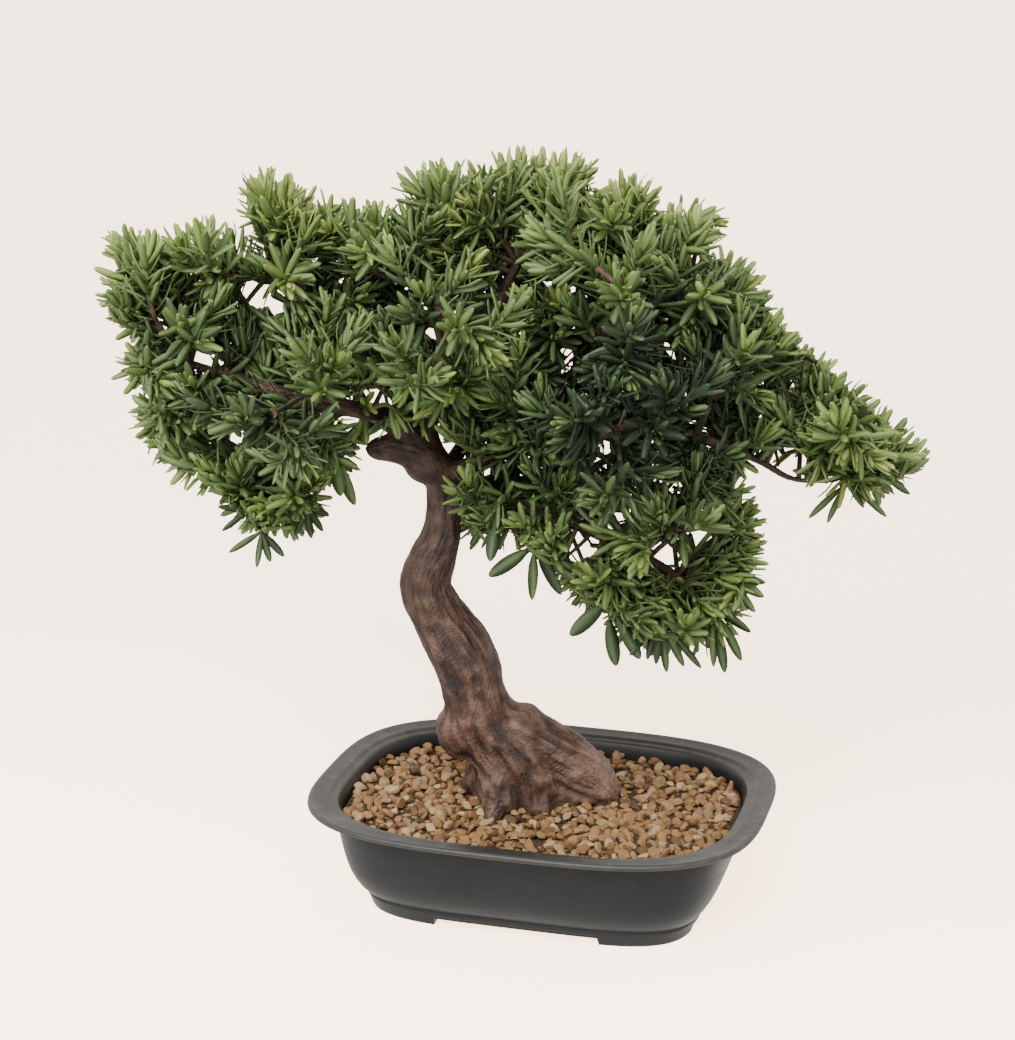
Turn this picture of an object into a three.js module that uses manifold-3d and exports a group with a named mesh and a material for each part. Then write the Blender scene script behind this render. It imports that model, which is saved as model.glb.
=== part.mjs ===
// A small bonsai tree with a leaning, curved trunk in a low rectangular pot.
// Units are millimetres and +Z is up. The pot's long side runs along X. The undersides of its feet
// lie FOOT_DROP below z = 0; at the end the whole is raised to stand on z = 0.
// The tree's own points are given as seen from its front: X to the right, Y away from the viewer
// and Z up, measured from the middle of the pot. The tree stands turned in its pot by TREE_TURN.

import * as THREE from 'three';
import { mergeVertices } from 'three/addons/utils/BufferGeometryUtils.js';
import Module from 'manifold-3d';

const wasm = await Module();
wasm.setup();

// Driving dimensions of the pot
const RIM_LENGTH = 200;
const RIM_WIDTH = 155;
const RIM_TOP = 48.4;
const RIM_CORNER = 3.2;
const BASE_LENGTH = 150;
const BASE_WIDTH = 100;
const BASE_CORNER = 4.2;
const LIP_WIDTH = 13.2;
const LIP_THICKNESS = 2.6;
const WALL = 2.4;
const FLOOR = 3;
const FOOT_HEIGHT = 2.2;
const FOOT_DROP = 1.6;
const FOOT_INSET = 2;
const FOOT_GAP_LENGTH = 72;
const FOOT_GAP_WIDTH = 48;
const BAND_HEIGHT = 6;
const LEDGE = 0.8;
const OUTLINE_POINTS = 28;
const RIM_EDGE = 0.7;
const FLOOR_INSET = 7.2;

// The gap between pieces that touch
const FIT_GAP = 0.35;

// Driving dimensions of the fill
const SOIL_TOP = 36;
const GRAVEL_TOP = 43.8;
const PEBBLE_PITCH = 16;
const PEBBLE_RELIEF = 2.2;
const PEBBLE_DRIFT = 2.5;
const PEBBLE_UNEVENNESS = 1;

// Driving dimensions of the wood
const TREE_TURN = 15.5;
const BARK_RELIEF = 0.07;
const STUB_RELIEF = 0.11;
const TRUNK_SIDES = 10;
const TRUNK_STEPS = 15;
const STUB_SIDES = 6;
const ROOT_SIDES = 6;
const ROOT_STEPS = 4;
const LIMB_SIDES = 5;

// Driving dimensions of the foliage. A shoot has one radius for each of its rings,
// and one angle between leaf and shoot for each stretch between two rings.
const TWIG_RADIUS = 1.35;
const TWIG_ARCH = 0.12;
const TWIG_SWAY = 0.6;
const TWIG_SHIFT = 0.02;
const TWIG_TRIES = 40;
const SHOOT_BACK = 11;
const SHOOT_FRONT = 4;
const SHOOT_RADII = [1.4, 2.2, 2.4, 2.2, 1.7];
const LEAF_SPREADS = [76, 62, 48, 34];
const END_LEAF_SPREAD = 5;
const END_LEAF_LENGTH = 0.75;
const LEAF_LENGTH = 15.6;
const SHORTEST_LEAF = 0.85;
const LONGEST_LEAF = 1.06;
const LEAF_WIDTH = 4.6;
const LEAF_THICKNESS = 0.9;
const LEAF_WIDEST = 0.45;
const LEAF_FREE_FROM = 0.6;
const LEAF_ARCH = [0.4, 2];
const LEAF_DRIFT = 8;
const LEAF_DRIFT_STEP = 2.5;
const LEAF_SHRINK_STEP = 0.02;
const LEAF_CLEARANCE = 0.4;
const LEAF_TRIES = 14;

// The trunk from the root plug in the soil up to its fork: x, y, z and radius
const TRUNK = [
  [-9, 7, 22, 18], [-9, 7, 44, 21], [-13, 5, 62, 19], [-26, 2, 79, 15.5], [-30.5, 0, 93, 13.8],
  [-33.5, 0, 106, 14], [-39, 0, 117, 13.6], [-46.5, 0, 129, 12], [-51.5, 0, 142, 11.2], [-48.5, 0, 153, 10.6],
  [-44.5, 1, 163, 8.6], [-43.5, 1, 175, 7.4], [-44, 2, 185, 7], [-47, 3, 196, 7.4],
];

// The surface roots, which run out from the trunk's foot and dip into the gravel
const ROOTS = [
  [[-10, 2, 72, 13], [4, 2, 64, 12.5], [16, 3, 55, 11.5], [24, 4, 47, 9.5], [31, 6, 37, 4.5]],
  [[-2, 12, 60, 12], [12, 20, 50, 8.5], [24, 26, 41, 5.5], [30, 29, 36, 3]],
  [[-16, -2, 60, 12], [-19, -8, 50, 8.5], [-22, -13, 41, 5.5], [-24, -17, 36, 3]],
  [[-4, -1, 60, 11], [-2, -5, 48, 8], [0, -8, 37, 4]],
  [[-20, 8, 58, 11], [-29, 14, 46, 7.5], [-37, 18, 37, 3.5]],
];

// Rounded swellings of the wood: centre and the three half sizes
const BURLS = [
  { at: [-9, -1, 77], half: [10, 11, 10.5] },
  { at: [-36.5, 0, 75], half: [11.5, 11, 12] },
  { at: [-50, 0, 195], half: [10, 9, 8.5] },
  { at: [-13, 1, 50], half: [17, 12, 13.3] },
  { at: [10, 4, 49.5], half: [20, 10.5, 12.8] },
];

// The cut stub at the left of the fork
const STUB = [[-42, 2, 190, 7.5], [-55, 1, 199, 7.2], [-64, 0, 202, 6.2], [-72, -1, 202, 5.2]];

// The limbs in growing order. Each has its path (x, y, z and radius) and its boughs.
// A bough is a twig with one or two sprays of leaves, given by the middle of each spray.
const LIMBS = {
  leader: {
    path: [
      [-46, 3, 192, 7.4], [-51, 5, 208, 5.6], [-46, 7, 224, 4.8], [-34, 8, 240, 4.2], [-22, 8, 258, 3.2],
      [-12, 6, 280, 2],
    ],
    boughs: [[[-30, -12, 304], [-8, 4, 314]], [[14, 22, 304]]],
  },
  left: {
    path: [
      [-48, 2, 194, 6.6], [-56, 1, 206, 5.6], [-67, -1, 216, 4.6], [-85, -4, 221, 3.8], [-108, -6, 227, 3],
      [-132, -6, 234, 2.4], [-148, -6, 240, 1.8],
    ],
    boughs: [
      [[-172, -12, 264], [-168, -26, 240]], [[-158, -8, 216], [-152, 18, 200]], [[-146, -44, 262]],
      [[-128, 8, 252]], [[-62, -28, 240]],
    ],
  },
  left_high: {
    path: [
      [-47, 4, 200, 4.5], [-62, 8, 222, 3.6], [-82, 10, 246, 2.8], [-100, 10, 264, 2.2], [-114, 8, 276, 1.6],
    ],
    boughs: [
      [[-98, 26, 294], [-80, 2, 288]], [[-168, 8, 282], [-146, 34, 278]], [[-118, -2, 304]],
      [[-104, -34, 278]],
    ],
  },
  left_low: {
    path: [[-85, -4, 221, 3], [-98, -8, 210, 2.4], [-110, -10, 194, 2], [-116, -8, 184, 1.6]],
    boughs: [[[-126, -18, 172], [-138, -28, 198]], [[-96, -30, 186], [-88, 2, 194]]],
  },
  left_back: {
    path: [[-62, 8, 222, 3], [-80, 28, 230, 2.4], [-98, 46, 234, 1.8]],
    boughs: [[[-130, 50, 224], [-110, 72, 240]], [[-88, 62, 212]]],
  },
  left_front: {
    path: [[-69, -1, 216, 3], [-82, -24, 224, 2.4], [-96, -38, 230, 1.8]],
    boughs: [[[-124, -50, 224], [-98, -64, 214]], [[-84, -60, 250]]],
  },
  top_left: {
    path: [[-38, 8, 235, 3], [-44, 4, 256, 2.4], [-54, 0, 272, 1.8]],
    boughs: [[[-68, -20, 292]], [[-50, 18, 306]], [[-72, 34, 276]]],
  },
  top_front: {
    path: [[-47, 7, 221, 3], [-43, -20, 238, 2.4], [-42, -38, 250, 1.8]],
    boughs: [[[-48, -58, 276], [-26, -74, 262]], [[-56, -64, 242]]],
  },
  top_back: {
    path: [[-29, 8, 247, 3], [-20, 34, 262, 2.4], [-12, 48, 272, 1.8]],
    boughs: [[[-30, 64, 292], [-6, 78, 264]], [[6, 46, 298]]],
  },
  right_high: {
    path: [
      [-46, 7, 223, 4.2], [-15, 10, 238, 3.4], [12, 12, 247, 2.8], [38, 10, 252, 2.2], [58, 6, 254, 1.7],
    ],
    boughs: [
      [[38, 14, 302], [60, 8, 292]], [[82, 0, 272], [94, 28, 256]], [[22, -12, 308]], [[62, -42, 274]],
    ],
  },
  right_high_front: {
    path: [[12, 12, 247, 2.8], [22, -16, 254, 2.2], [28, -38, 260, 1.7]],
    boughs: [[[28, -62, 282], [0, -50, 298]], [[30, -78, 250]]],
  },
  right_high_back: {
    path: [[12, 12, 247, 2.8], [28, 38, 250, 2.2], [42, 56, 246, 1.7]],
    boughs: [[[68, 54, 276]], [[42, 86, 244]], [[30, 50, 288]], [[80, 72, 226]]],
  },
  right: {
    path: [
      [-45, 2, 186, 5], [-22, -4, 200, 4.2], [8, -8, 210, 3.6], [38, -10, 213, 3], [66, -8, 208, 2.4],
      [90, -5, 198, 2], [104, -4, 190, 1.8], [120, -4, 189, 1.6], [132, -3, 192, 1.4],
    ],
    boughs: [
      [[132, -16, 222], [124, -34, 212]], [[154, 0, 199]], [[120, 8, 230], [102, -12, 246]],
      [[78, -46, 252]], [[134, -6, 178]], [[-19, -28, 227]],
    ],
  },
  right_front: {
    path: [[8, -8, 210, 3], [20, -34, 216, 2.4], [28, -50, 222, 1.8]],
    boughs: [[[52, -70, 234]], [[8, -80, 232]], [[30, -62, 196]]],
  },
  right_back: {
    path: [[38, -10, 213, 3], [58, 14, 214, 2.4], [76, 34, 210, 1.8]],
    boughs: [[[104, 36, 214], [100, 10, 192]], [[84, 62, 190]]],
  },
  low_right: {
    path: [
      [-44, 1, 176, 4.4], [-26, -8, 181, 3.6], [-2, -14, 178, 3], [24, -16, 168, 2.6], [46, -14, 156, 2.2],
      [60, -10, 146, 1.7],
    ],
    boughs: [
      [[88, -2, 178], [86, -10, 156]], [[72, -6, 122], [56, -24, 126]], [[64, -48, 182], [36, -56, 176]],
      [[30, -26, 138], [0, -24, 160]], [[86, 14, 132]], [[-18, -18, 168]],
    ],
  },
  back: {
    path: [
      [-43, 4, 188, 4], [-34, 28, 198, 3.4], [-20, 50, 202, 2.8], [-2, 66, 200, 2.2], [16, 74, 194, 1.7],
    ],
    boughs: [[[16, 94, 190], [44, 80, 182]], [[-44, 76, 220], [-8, 92, 226]]],
  },
  back_low: {
    path: [[-34, 28, 198, 2.8], [-18, 40, 182, 2.2], [4, 44, 168, 1.7]],
    boughs: [[[20, 54, 146], [48, 40, 140]], [[-18, 62, 160]]],
  },
};

// Finishes
const PLASTIC = { color: 0x3f4543, roughness: 0.5, metalness: 0 };
const EARTH = { color: 0x3a2c21, roughness: 1, metalness: 0 };
const PEBBLES = { color: 0xb59671, roughness: 0.9, metalness: 0 };
const BARK = { color: 0x6b5147, roughness: 0.85, metalness: 0 };
const LEAVES = { color: 0x5c7434, roughness: 0.5, metalness: 0 };

const RADIANS = Math.PI / 180;
const SEED_RANGE = 2 ** 32;
const GRAVEL_SEED = 7;
const FOLIAGE_SEED = 2024;
const WOOD_SEEDS = { trunk: 3, stub: 4, root: 10, limb: 1 };
const MERGE_DISTANCE = 1e-4;
const SMALLEST_OVERLAP = 1e-6;
const NEARLY_PARALLEL = 0.95;
const CURVE_SAMPLES = 24;
const CARRIER_START = 0.3;
const EARLIEST_ROOT = 0.1;
const EARLIEST_SHOOT = 0.15;

// A repeatable random number source
function randomFrom(seed) {
  let state = seed;
  return () => {
    state = (state + 0x6d2b79f5) | 0;
    let mixed = Math.imul(state ^ (state >>> 15), 1 | state);
    mixed = (mixed + Math.imul(mixed ^ (mixed >>> 7), 61 | mixed)) ^ mixed;
    return ((mixed ^ (mixed >>> 14)) >>> 0) / SEED_RANGE;
  };
}

// Turn a point of the tree into the pot's frame
function inPot([x, y, z]) {
  return new THREE.Vector3(x, y, z).applyAxisAngle(new THREE.Vector3(0, 0, 1), TREE_TURN * RADIANS);
}

function middleOf(points) {
  return points.reduce((sum, p) => sum.add(p), new THREE.Vector3()).divideScalar(points.length);
}

// Closed solids

function solidFrom(positions, triangles) {
  let volume = 0;
  for (let i = 0; i < triangles.length; i += 3) {
    const [a, b, c] = [0, 1, 2].map((k) => new THREE.Vector3().fromArray(positions, 3 * triangles[i + k]));
    volume += a.dot(b.cross(c));
  }
  if (volume < 0) {
    triangles.reverse();
  }
  return new wasm.Manifold(new wasm.Mesh({
    numProp: 3,
    vertProperties: new Float32Array(positions),
    triVerts: new Uint32Array(triangles),
  }));
}

function solidOf(geometry) {
  const bare = new THREE.BufferGeometry();
  bare.setAttribute('position', geometry.getAttribute('position'));
  if (geometry.index) {
    bare.setIndex(geometry.index);
  }
  const merged = mergeVertices(bare, MERGE_DISTANCE);
  return solidFrom(Array.from(merged.attributes.position.array), Array.from(merged.index.array));
}

// Skin a row of rings of points. A ring of one point is a tip, and an open end gets a flat cap.
function skin(rings) {
  const positions = rings.flat().flatMap((p) => [p.x, p.y, p.z]);
  const triangles = [];
  let start = 0;
  for (let i = 0; i + 1 < rings.length; i += 1) {
    const near = rings[i].length;
    const far = rings[i + 1].length;
    const next = start + near;
    for (let k = 0; k < Math.max(near, far); k += 1) {
      const a = start + (k % near);
      const b = start + ((k + 1) % near);
      const c = next + (k % far);
      const d = next + ((k + 1) % far);
      if (near > 1) {
        triangles.push(a, b, c);
      }
      if (far > 1) {
        triangles.push(b, d, c);
      }
    }
    start = next;
  }
  const cap = (ring, first, flip) => {
    const centre = middleOf(ring);
    const middle = positions.length / 3;
    positions.push(centre.x, centre.y, centre.z);
    for (let k = 0; k < ring.length; k += 1) {
      const a = first + k;
      const b = first + ((k + 1) % ring.length);
      triangles.push(...(flip ? [b, a, middle] : [a, b, middle]));
    }
  };
  if (rings[0].length > 1) {
    cap(rings[0], 0, true);
  }
  if (rings.at(-1).length > 1) {
    cap(rings.at(-1), start, false);
  }
  return solidFrom(positions, triangles);
}

// A tapered round solid along a smooth path of points with radii
function limbSolid(path, sides, steps, relief, seed, grow) {
  const curve = new THREE.CatmullRomCurve3(path.map((p) => inPot(p)), false, 'centripetal');
  const random = randomFrom(seed);
  const rings = [];
  let side = new THREE.Vector3(0, 0, 1);
  for (let i = 0; i <= steps; i += 1) {
    const u = i / steps;
    const place = u * (path.length - 1);
    const from = Math.min(Math.floor(place), path.length - 2);
    const radius = THREE.MathUtils.lerp(path[from][3], path[from + 1][3], place - from) + grow;
    const centre = curve.getPoint(u);
    const along = curve.getTangent(u);
    if (Math.abs(side.dot(along)) > NEARLY_PARALLEL) {
      side = new THREE.Vector3(1, 0, 0);
    }
    side.addScaledVector(along, -side.dot(along)).normalize();
    const up = new THREE.Vector3().crossVectors(along, side);
    const ring = [];
    for (let k = 0; k < sides; k += 1) {
      const angle = (2 * Math.PI * k) / sides;
      const reach = radius * (1 + relief * (2 * random() - 1));
      const point = centre.clone().addScaledVector(side, reach * Math.cos(angle));
      ring.push(point.addScaledVector(up, reach * Math.sin(angle)));
    }
    rings.push(ring);
  }
  return skin(rings);
}

function burlSolid({ at, half }, grow = 0) {
  const geometry = new THREE.IcosahedronGeometry(1, 1);
  geometry.scale(half[0] + grow, half[1] + grow, half[2] + grow);
  geometry.rotateZ(TREE_TURN * RADIANS);
  geometry.translate(...inPot(at).toArray());
  return solidOf(geometry);
}

function join(solids) {
  return solids.reduce((sum, solid) => sum.add(solid));
}

function boxSolid(size, centre) {
  const geometry = new THREE.BoxGeometry(...size);
  geometry.translate(...centre);
  return solidOf(geometry);
}

// The pot

function potRing(length, width, corner, z) {
  const ring = [];
  for (let i = 0; i < OUTLINE_POINTS; i += 1) {
    const angle = (2 * Math.PI * (i + 0.5)) / OUTLINE_POINTS;
    const bend = (value) => (Math.sign(value) * Math.abs(value) ** (2 / corner)) / 2;
    ring.push(new THREE.Vector3(length * bend(Math.cos(angle)), width * bend(Math.sin(angle)), z));
  }
  return ring;
}

// The wall's outer half profile: share of the way up from the band to the lip, and share of the flare
const WALL_PROFILE = [[0, 0], [0.2, 0.4], [0.52, 0.7], [1, 1]];
const WALL_TOP_LENGTH = RIM_LENGTH - 2 * LIP_WIDTH + 2 * WALL;
const WALL_TOP_WIDTH = RIM_WIDTH - 2 * LIP_WIDTH + 2 * WALL;

function wallRing([rise, flare], inset, lowest) {
  const bottom = BAND_HEIGHT + LEDGE / 2;
  const z = THREE.MathUtils.lerp(bottom, RIM_TOP - LIP_THICKNESS, rise);
  const length = THREE.MathUtils.lerp(BASE_LENGTH + LEDGE, WALL_TOP_LENGTH, flare) - 2 * inset;
  const width = THREE.MathUtils.lerp(BASE_WIDTH + LEDGE, WALL_TOP_WIDTH, flare) - 2 * inset;
  const corner = THREE.MathUtils.lerp(BASE_CORNER, RIM_CORNER, rise);
  return potRing(length, width, corner, Math.max(z, lowest));
}

function makePot() {
  const floorTop = FOOT_HEIGHT + FLOOR;
  const outside = WALL_PROFILE.map((step) => wallRing(step, 0, 0));
  const inside = WALL_PROFILE.slice(1).reverse().map((step) => wallRing(step, WALL, floorTop));
  const body = skin([
    potRing(BASE_LENGTH - 2 * FOOT_INSET, BASE_WIDTH - 2 * FOOT_INSET, BASE_CORNER, -FOOT_DROP),
    potRing(BASE_LENGTH, BASE_WIDTH, BASE_CORNER, BAND_HEIGHT - LEDGE / 2),
    ...outside,
    potRing(RIM_LENGTH - 2 * RIM_EDGE, RIM_WIDTH - 2 * RIM_EDGE, RIM_CORNER, RIM_TOP - LIP_THICKNESS),
    potRing(RIM_LENGTH, RIM_WIDTH, RIM_CORNER, RIM_TOP - LIP_THICKNESS / 2),
    potRing(RIM_LENGTH - 2 * RIM_EDGE, RIM_WIDTH - 2 * RIM_EDGE, RIM_CORNER, RIM_TOP),
    potRing(RIM_LENGTH - 2 * LIP_WIDTH, RIM_WIDTH - 2 * LIP_WIDTH, RIM_CORNER, RIM_TOP),
    ...inside,
    potRing(BASE_LENGTH - FLOOR_INSET, BASE_WIDTH - FLOOR_INSET, BASE_CORNER, floorTop),
  ]);
  const across = boxSolid([FOOT_GAP_LENGTH, 2 * RIM_WIDTH, 2 * FOOT_HEIGHT], [0, 0, 0]);
  const along = boxSolid([2 * RIM_LENGTH, FOOT_GAP_WIDTH, 2 * FOOT_HEIGHT], [0, 0, 0]);
  return body.subtract(across).subtract(along);
}

// The space inside the pot, kept clear of its wall by the fit gap
function potInside() {
  const floorTop = FOOT_HEIGHT + FLOOR + FIT_GAP;
  const floorInset = FLOOR_INSET + 2 * FIT_GAP;
  return skin([
    potRing(BASE_LENGTH - floorInset, BASE_WIDTH - floorInset, BASE_CORNER, floorTop),
    ...WALL_PROFILE.slice(1).map((step) => wallRing(step, WALL + FIT_GAP, floorTop)),
  ]);
}

// The fill

function makeSoil(inside, wood) {
  const below = boxSolid([2 * RIM_LENGTH, 2 * RIM_WIDTH, 2 * SOIL_TOP], [0, 0, 0]);
  return inside.intersect(below).subtract(wood);
}

// Pebbles as a lattice of low six-sided stones, each with its own height, over a flat underside
function pebbleSlab() {
  const random = randomFrom(GRAVEL_SEED);
  const rowHeight = (PEBBLE_PITCH * Math.sqrt(3)) / 2;
  const rows = Math.ceil(RIM_WIDTH / rowHeight);
  const columns = Math.ceil((RIM_LENGTH + RIM_WIDTH / 2) / PEBBLE_PITCH) + 2;
  const positions = [];
  const stones = [];
  const valleys = { up: [], down: [] };
  const put = (x, y, z) => positions.push([x, y, z]) - 1;
  const centreOf = (i, j) => {
    const x = (i - columns / 2 + (j - rows / 2) / 2) * PEBBLE_PITCH;
    const y = (j - rows / 2) * rowHeight;
    return [x, y];
  };
  for (let j = 0; j <= rows; j += 1) {
    stones.push([]);
    for (let i = 0; i <= columns; i += 1) {
      const [x, y] = centreOf(i, j);
      const drift = () => (2 * random() - 1) * PEBBLE_DRIFT;
      stones[j].push(put(x + drift(), y + drift(), GRAVEL_TOP - random() * PEBBLE_UNEVENNESS));
    }
  }
  const valley = (corners) => {
    const [x, y] = [0, 1].map((k) => corners.reduce((sum, index) => sum + positions[index][k], 0) / 3);
    return put(x, y, GRAVEL_TOP - PEBBLE_RELIEF - random() * PEBBLE_UNEVENNESS);
  };
  for (let j = 0; j < rows; j += 1) {
    valleys.up.push([]);
    valleys.down.push([]);
    for (let i = 0; i < columns; i += 1) {
      valleys.up[j].push(valley([stones[j][i], stones[j][i + 1], stones[j + 1][i]]));
      valleys.down[j].push(valley([stones[j][i + 1], stones[j + 1][i + 1], stones[j + 1][i]]));
    }
  }
  const top = [];
  const facet = (a, b, left, right) => {
    if (left !== undefined && right !== undefined) {
      top.push([a, right, left], [b, left, right]);
    }
  };
  for (let j = 0; j <= rows; j += 1) {
    for (let i = 0; i <= columns; i += 1) {
      const up = valleys.up[j]?.[i];
      if (i < columns) {
        facet(stones[j][i], stones[j][i + 1], up, valleys.down[j - 1]?.[i]);
      }
      if (j < rows) {
        facet(stones[j][i], stones[j + 1][i], valleys.down[j]?.[i - 1], up);
      }
      if (i < columns && j < rows) {
        facet(stones[j][i + 1], stones[j + 1][i], up, valleys.down[j]?.[i]);
      }
    }
  }
  return slabUnder(positions, top, 0);
}

function makeGravel(inside, wood) {
  const above = boxSolid([2 * RIM_LENGTH, 2 * RIM_WIDTH, RIM_TOP], [0, 0, SOIL_TOP + FIT_GAP + RIM_TOP / 2]);
  return mainPiece(pebbleSlab().intersect(inside.intersect(above)).subtract(wood));
}

// Close an open surface downwards to a flat underside
function slabUnder(surface, faces, bottom) {
  const count = surface.length;
  const points = [...surface, ...surface.map(([x, y]) => [x, y, bottom])];
  const triangles = [];
  const edges = new Map();
  for (const [a, b, c] of faces) {
    triangles.push(a, b, c, a + count, c + count, b + count);
    for (const [from, to] of [[a, b], [b, c], [c, a]]) {
      edges.set(`${from},${to}`, [from, to]);
    }
  }
  for (const [from, to] of edges.values()) {
    if (!edges.has(`${to},${from}`)) {
      triangles.push(to, from, from + count, to, from + count, to + count);
    }
  }
  const used = [...new Set(triangles)];
  const place = new Map(used.map((index, k) => [index, k]));
  return solidFrom(used.flatMap((index) => points[index]), triangles.map((index) => place.get(index)));
}

// The wood

function woodPieces(grow = 0) {
  return [
    limbSolid(TRUNK, TRUNK_SIDES, TRUNK_STEPS, BARK_RELIEF, WOOD_SEEDS.trunk, grow),
    limbSolid(STUB, STUB_SIDES, STUB.length, STUB_RELIEF, WOOD_SEEDS.stub, grow),
    ...ROOTS.map((path, i) => (
      limbSolid(path, ROOT_SIDES, ROOT_STEPS, BARK_RELIEF, WOOD_SEEDS.root + i, grow)
    )),
    ...BURLS.map((burl) => burlSolid(burl, grow)),
    ...Object.values(LIMBS).map(({ path }) => (
      limbSolid(path, LIMB_SIDES, path.length - 1, 0, WOOD_SEEDS.limb, grow)
    )),
  ];
}

// The foliage

// How far along a curve its nearest point to a target lies, leaving out the curve's first stretch
function nearestOn(curve, target, first) {
  const away = (u) => curve.getPoint(u).distanceTo(target);
  const step = (_, i) => THREE.MathUtils.lerp(first, 1, i / CURVE_SAMPLES);
  const steps = Array.from({ length: CURVE_SAMPLES + 1 }, step);
  return steps.reduce((best, u) => (away(u) < away(best) ? u : best));
}

// A twig from its root to the shoot in the middle of a spray, as a smooth curve that arches up
function twigCurve(root, middle, sway) {
  const reach = middle.clone().sub(root);
  const direction = reach.clone().normalize();
  const end = middle.clone().addScaledVector(direction, SHOOT_FRONT);
  const bow = new THREE.Vector3(0, 0, TWIG_ARCH * reach.length()).add(sway);
  const half = root.clone().lerp(end, 0.5).add(bow);
  return new THREE.QuadraticBezierCurve3(root, half, end);
}

// The rings of a three-sided twig and of the slim shoot that ends it. Each ring of the shoot is
// turned by half a side, so that every stretch of it has three places for a leaf.
function twigRings(curve, grow = 0) {
  const length = curve.getLength();
  const shoot = Math.max(1 - (SHOOT_BACK + SHOOT_FRONT) / length, EARLIEST_SHOOT);
  const layers = SHOOT_RADII.length - 1;
  const stations = [
    [0, TWIG_RADIUS], [shoot / 2, TWIG_RADIUS],
    ...SHOOT_RADII.map((radius, i) => [THREE.MathUtils.lerp(shoot, 1, i / layers), radius]),
  ];
  return stations.map(([u, radius], i) => {
    const frame = frameAt(curve, u);
    return Array.from({ length: 3 }, (_, k) => {
      const angle = ringTurn(i) + (2 * k * Math.PI) / 3;
      return outwardAt(frame, angle).multiplyScalar(radius + grow).add(frame.centre);
    });
  });
}

// The shoot's first ring, and how far each ring of a twig is turned
const SHOOT_RING = 2;

function ringTurn(ring) {
  return (Math.max(ring - SHOOT_RING, 0) * Math.PI) / 3;
}

function frameAt(curve, u) {
  const along = curve.getTangent(u);
  const side = new THREE.Vector3(0, 0, 1).cross(along).normalize();
  return { centre: curve.getPoint(u), along, side, up: new THREE.Vector3().crossVectors(along, side) };
}

function outwardAt({ side, up }, angle) {
  return side.clone().multiplyScalar(Math.cos(angle)).addScaledVector(up, Math.sin(angle));
}

// The places on a shoot where leaves stand: three to a stretch, and a shorter one at its end
function leafPlaces() {
  const places = [];
  const lastRing = LEAF_SPREADS.length + SHOOT_RING;
  LEAF_SPREADS.forEach((spread, layer) => {
    const low = 3 * (layer + SHOOT_RING);
    for (let k = 0; k < 3; k += 1) {
      const m = (k + 1) % 3;
      const angle = ringTurn(layer + SHOOT_RING) + (2 * m * Math.PI) / 3;
      places.push({ base: [low + m, low + 3 + m, low + 3 + k], spread, angle, size: 1 });
    }
  });
  const end = [0, 1, 2].map((k) => 3 * lastRing + k);
  places.push({ base: end, spread: END_LEAF_SPREAD, angle: ringTurn(lastRing), size: END_LEAF_LENGTH });
  return places;
}

// The blade's ring at its widest place and its tip, for a leaf that stands on three given points
function leafRings(corners, frame, { angle, spread, length, arch }, grow = 0) {
  const outward = outwardAt(frame, angle);
  const { along } = frame;
  const direction = along.clone().multiplyScalar(Math.cos(spread)).addScaledVector(outward, Math.sin(spread));
  const face = along.clone().multiplyScalar(Math.sin(spread)).addScaledVector(outward, -Math.cos(spread));
  const side = new THREE.Vector3().crossVectors(along, outward);
  const root = middleOf(corners);
  const at = (u, across, rise) => root.clone()
    .addScaledVector(direction, u * (length + grow))
    .addScaledVector(side, across)
    .addScaledVector(face, rise - arch * u * u);
  const half = LEAF_WIDTH / 2 + grow;
  const ring = [
    at(LEAF_WIDEST, 0, -LEAF_THICKNESS - grow), at(LEAF_WIDEST, half, grow), at(LEAF_WIDEST, -half, grow),
  ];
  return [ring, [at(1, 0, 0)]];
}

// A leaf as a solid of its own, to test whether it has room: from its root, or its free part only
function leafSolid(corners, frame, plan, grow, free) {
  const [ring, tip] = leafRings(corners, frame, plan, grow);
  const root = middleOf(corners);
  const start = corners.map((p) => p.clone().addScaledVector(p.clone().sub(root).normalize(), grow));
  return skin([free ? start.map((p, k) => p.lerp(ring[k], LEAF_FREE_FROM)) : start, ring, tip]);
}

// A twig with all its leaves as one skin: each leaf grows out of one face of the shoot
function spraySolid(curve, leaves) {
  const rings = twigRings(curve);
  const points = rings.flat();
  const faces = [[2, 1, 0]];
  const grow = (base, leaf) => {
    const corners = base.map((index) => points[index]);
    const [ring, tip] = leafRings(corners, leaf.frame, leaf.plan);
    const next = points.length;
    points.push(...ring, ...tip);
    for (let k = 0; k < 3; k += 1) {
      const m = (k + 1) % 3;
      faces.push([base[k], base[m], next + m], [base[k], next + m, next + k], [next + k, next + m, next + 3]);
    }
  };
  const stretch = (from, k) => {
    const m = (k + 1) % 3;
    faces.push([from + k, from + m, from + 3 + k]);
    return [from + m, from + 3 + m, from + 3 + k];
  };
  const open = new Map(leaves.map((leaf) => [leaf.base.join(), leaf]));
  for (let i = 0; i + 1 < rings.length; i += 1) {
    for (let k = 0; k < 3; k += 1) {
      const base = stretch(3 * i, k);
      if (!open.has(base.join())) {
        faces.push(base);
      }
    }
  }
  const end = [0, 1, 2].map((k) => 3 * (rings.length - 1) + k);
  if (!open.has(end.join())) {
    faces.push(end);
  }
  leaves.forEach((leaf) => grow(leaf.base, leaf));
  return solidFrom(points.flatMap((p) => [p.x, p.y, p.z]), faces.flat());
}

const placed = [];

function place(solid, owner) {
  placed.push({ solid, owner, box: solid.boundingBox() });
}

// True where a solid keeps clear of all that is placed, apart from its own twig and spray
function isClear(solid, owners) {
  const box = solid.boundingBox();
  const apart = (other) => [0, 1, 2].some((k) => box.min[k] > other.max[k] || box.max[k] < other.min[k]);
  return !placed.some((other) => !owners.includes(other.owner) && !apart(other.box)
    && solid.intersect(other.solid).volume() > SMALLEST_OVERLAP);
}

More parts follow.
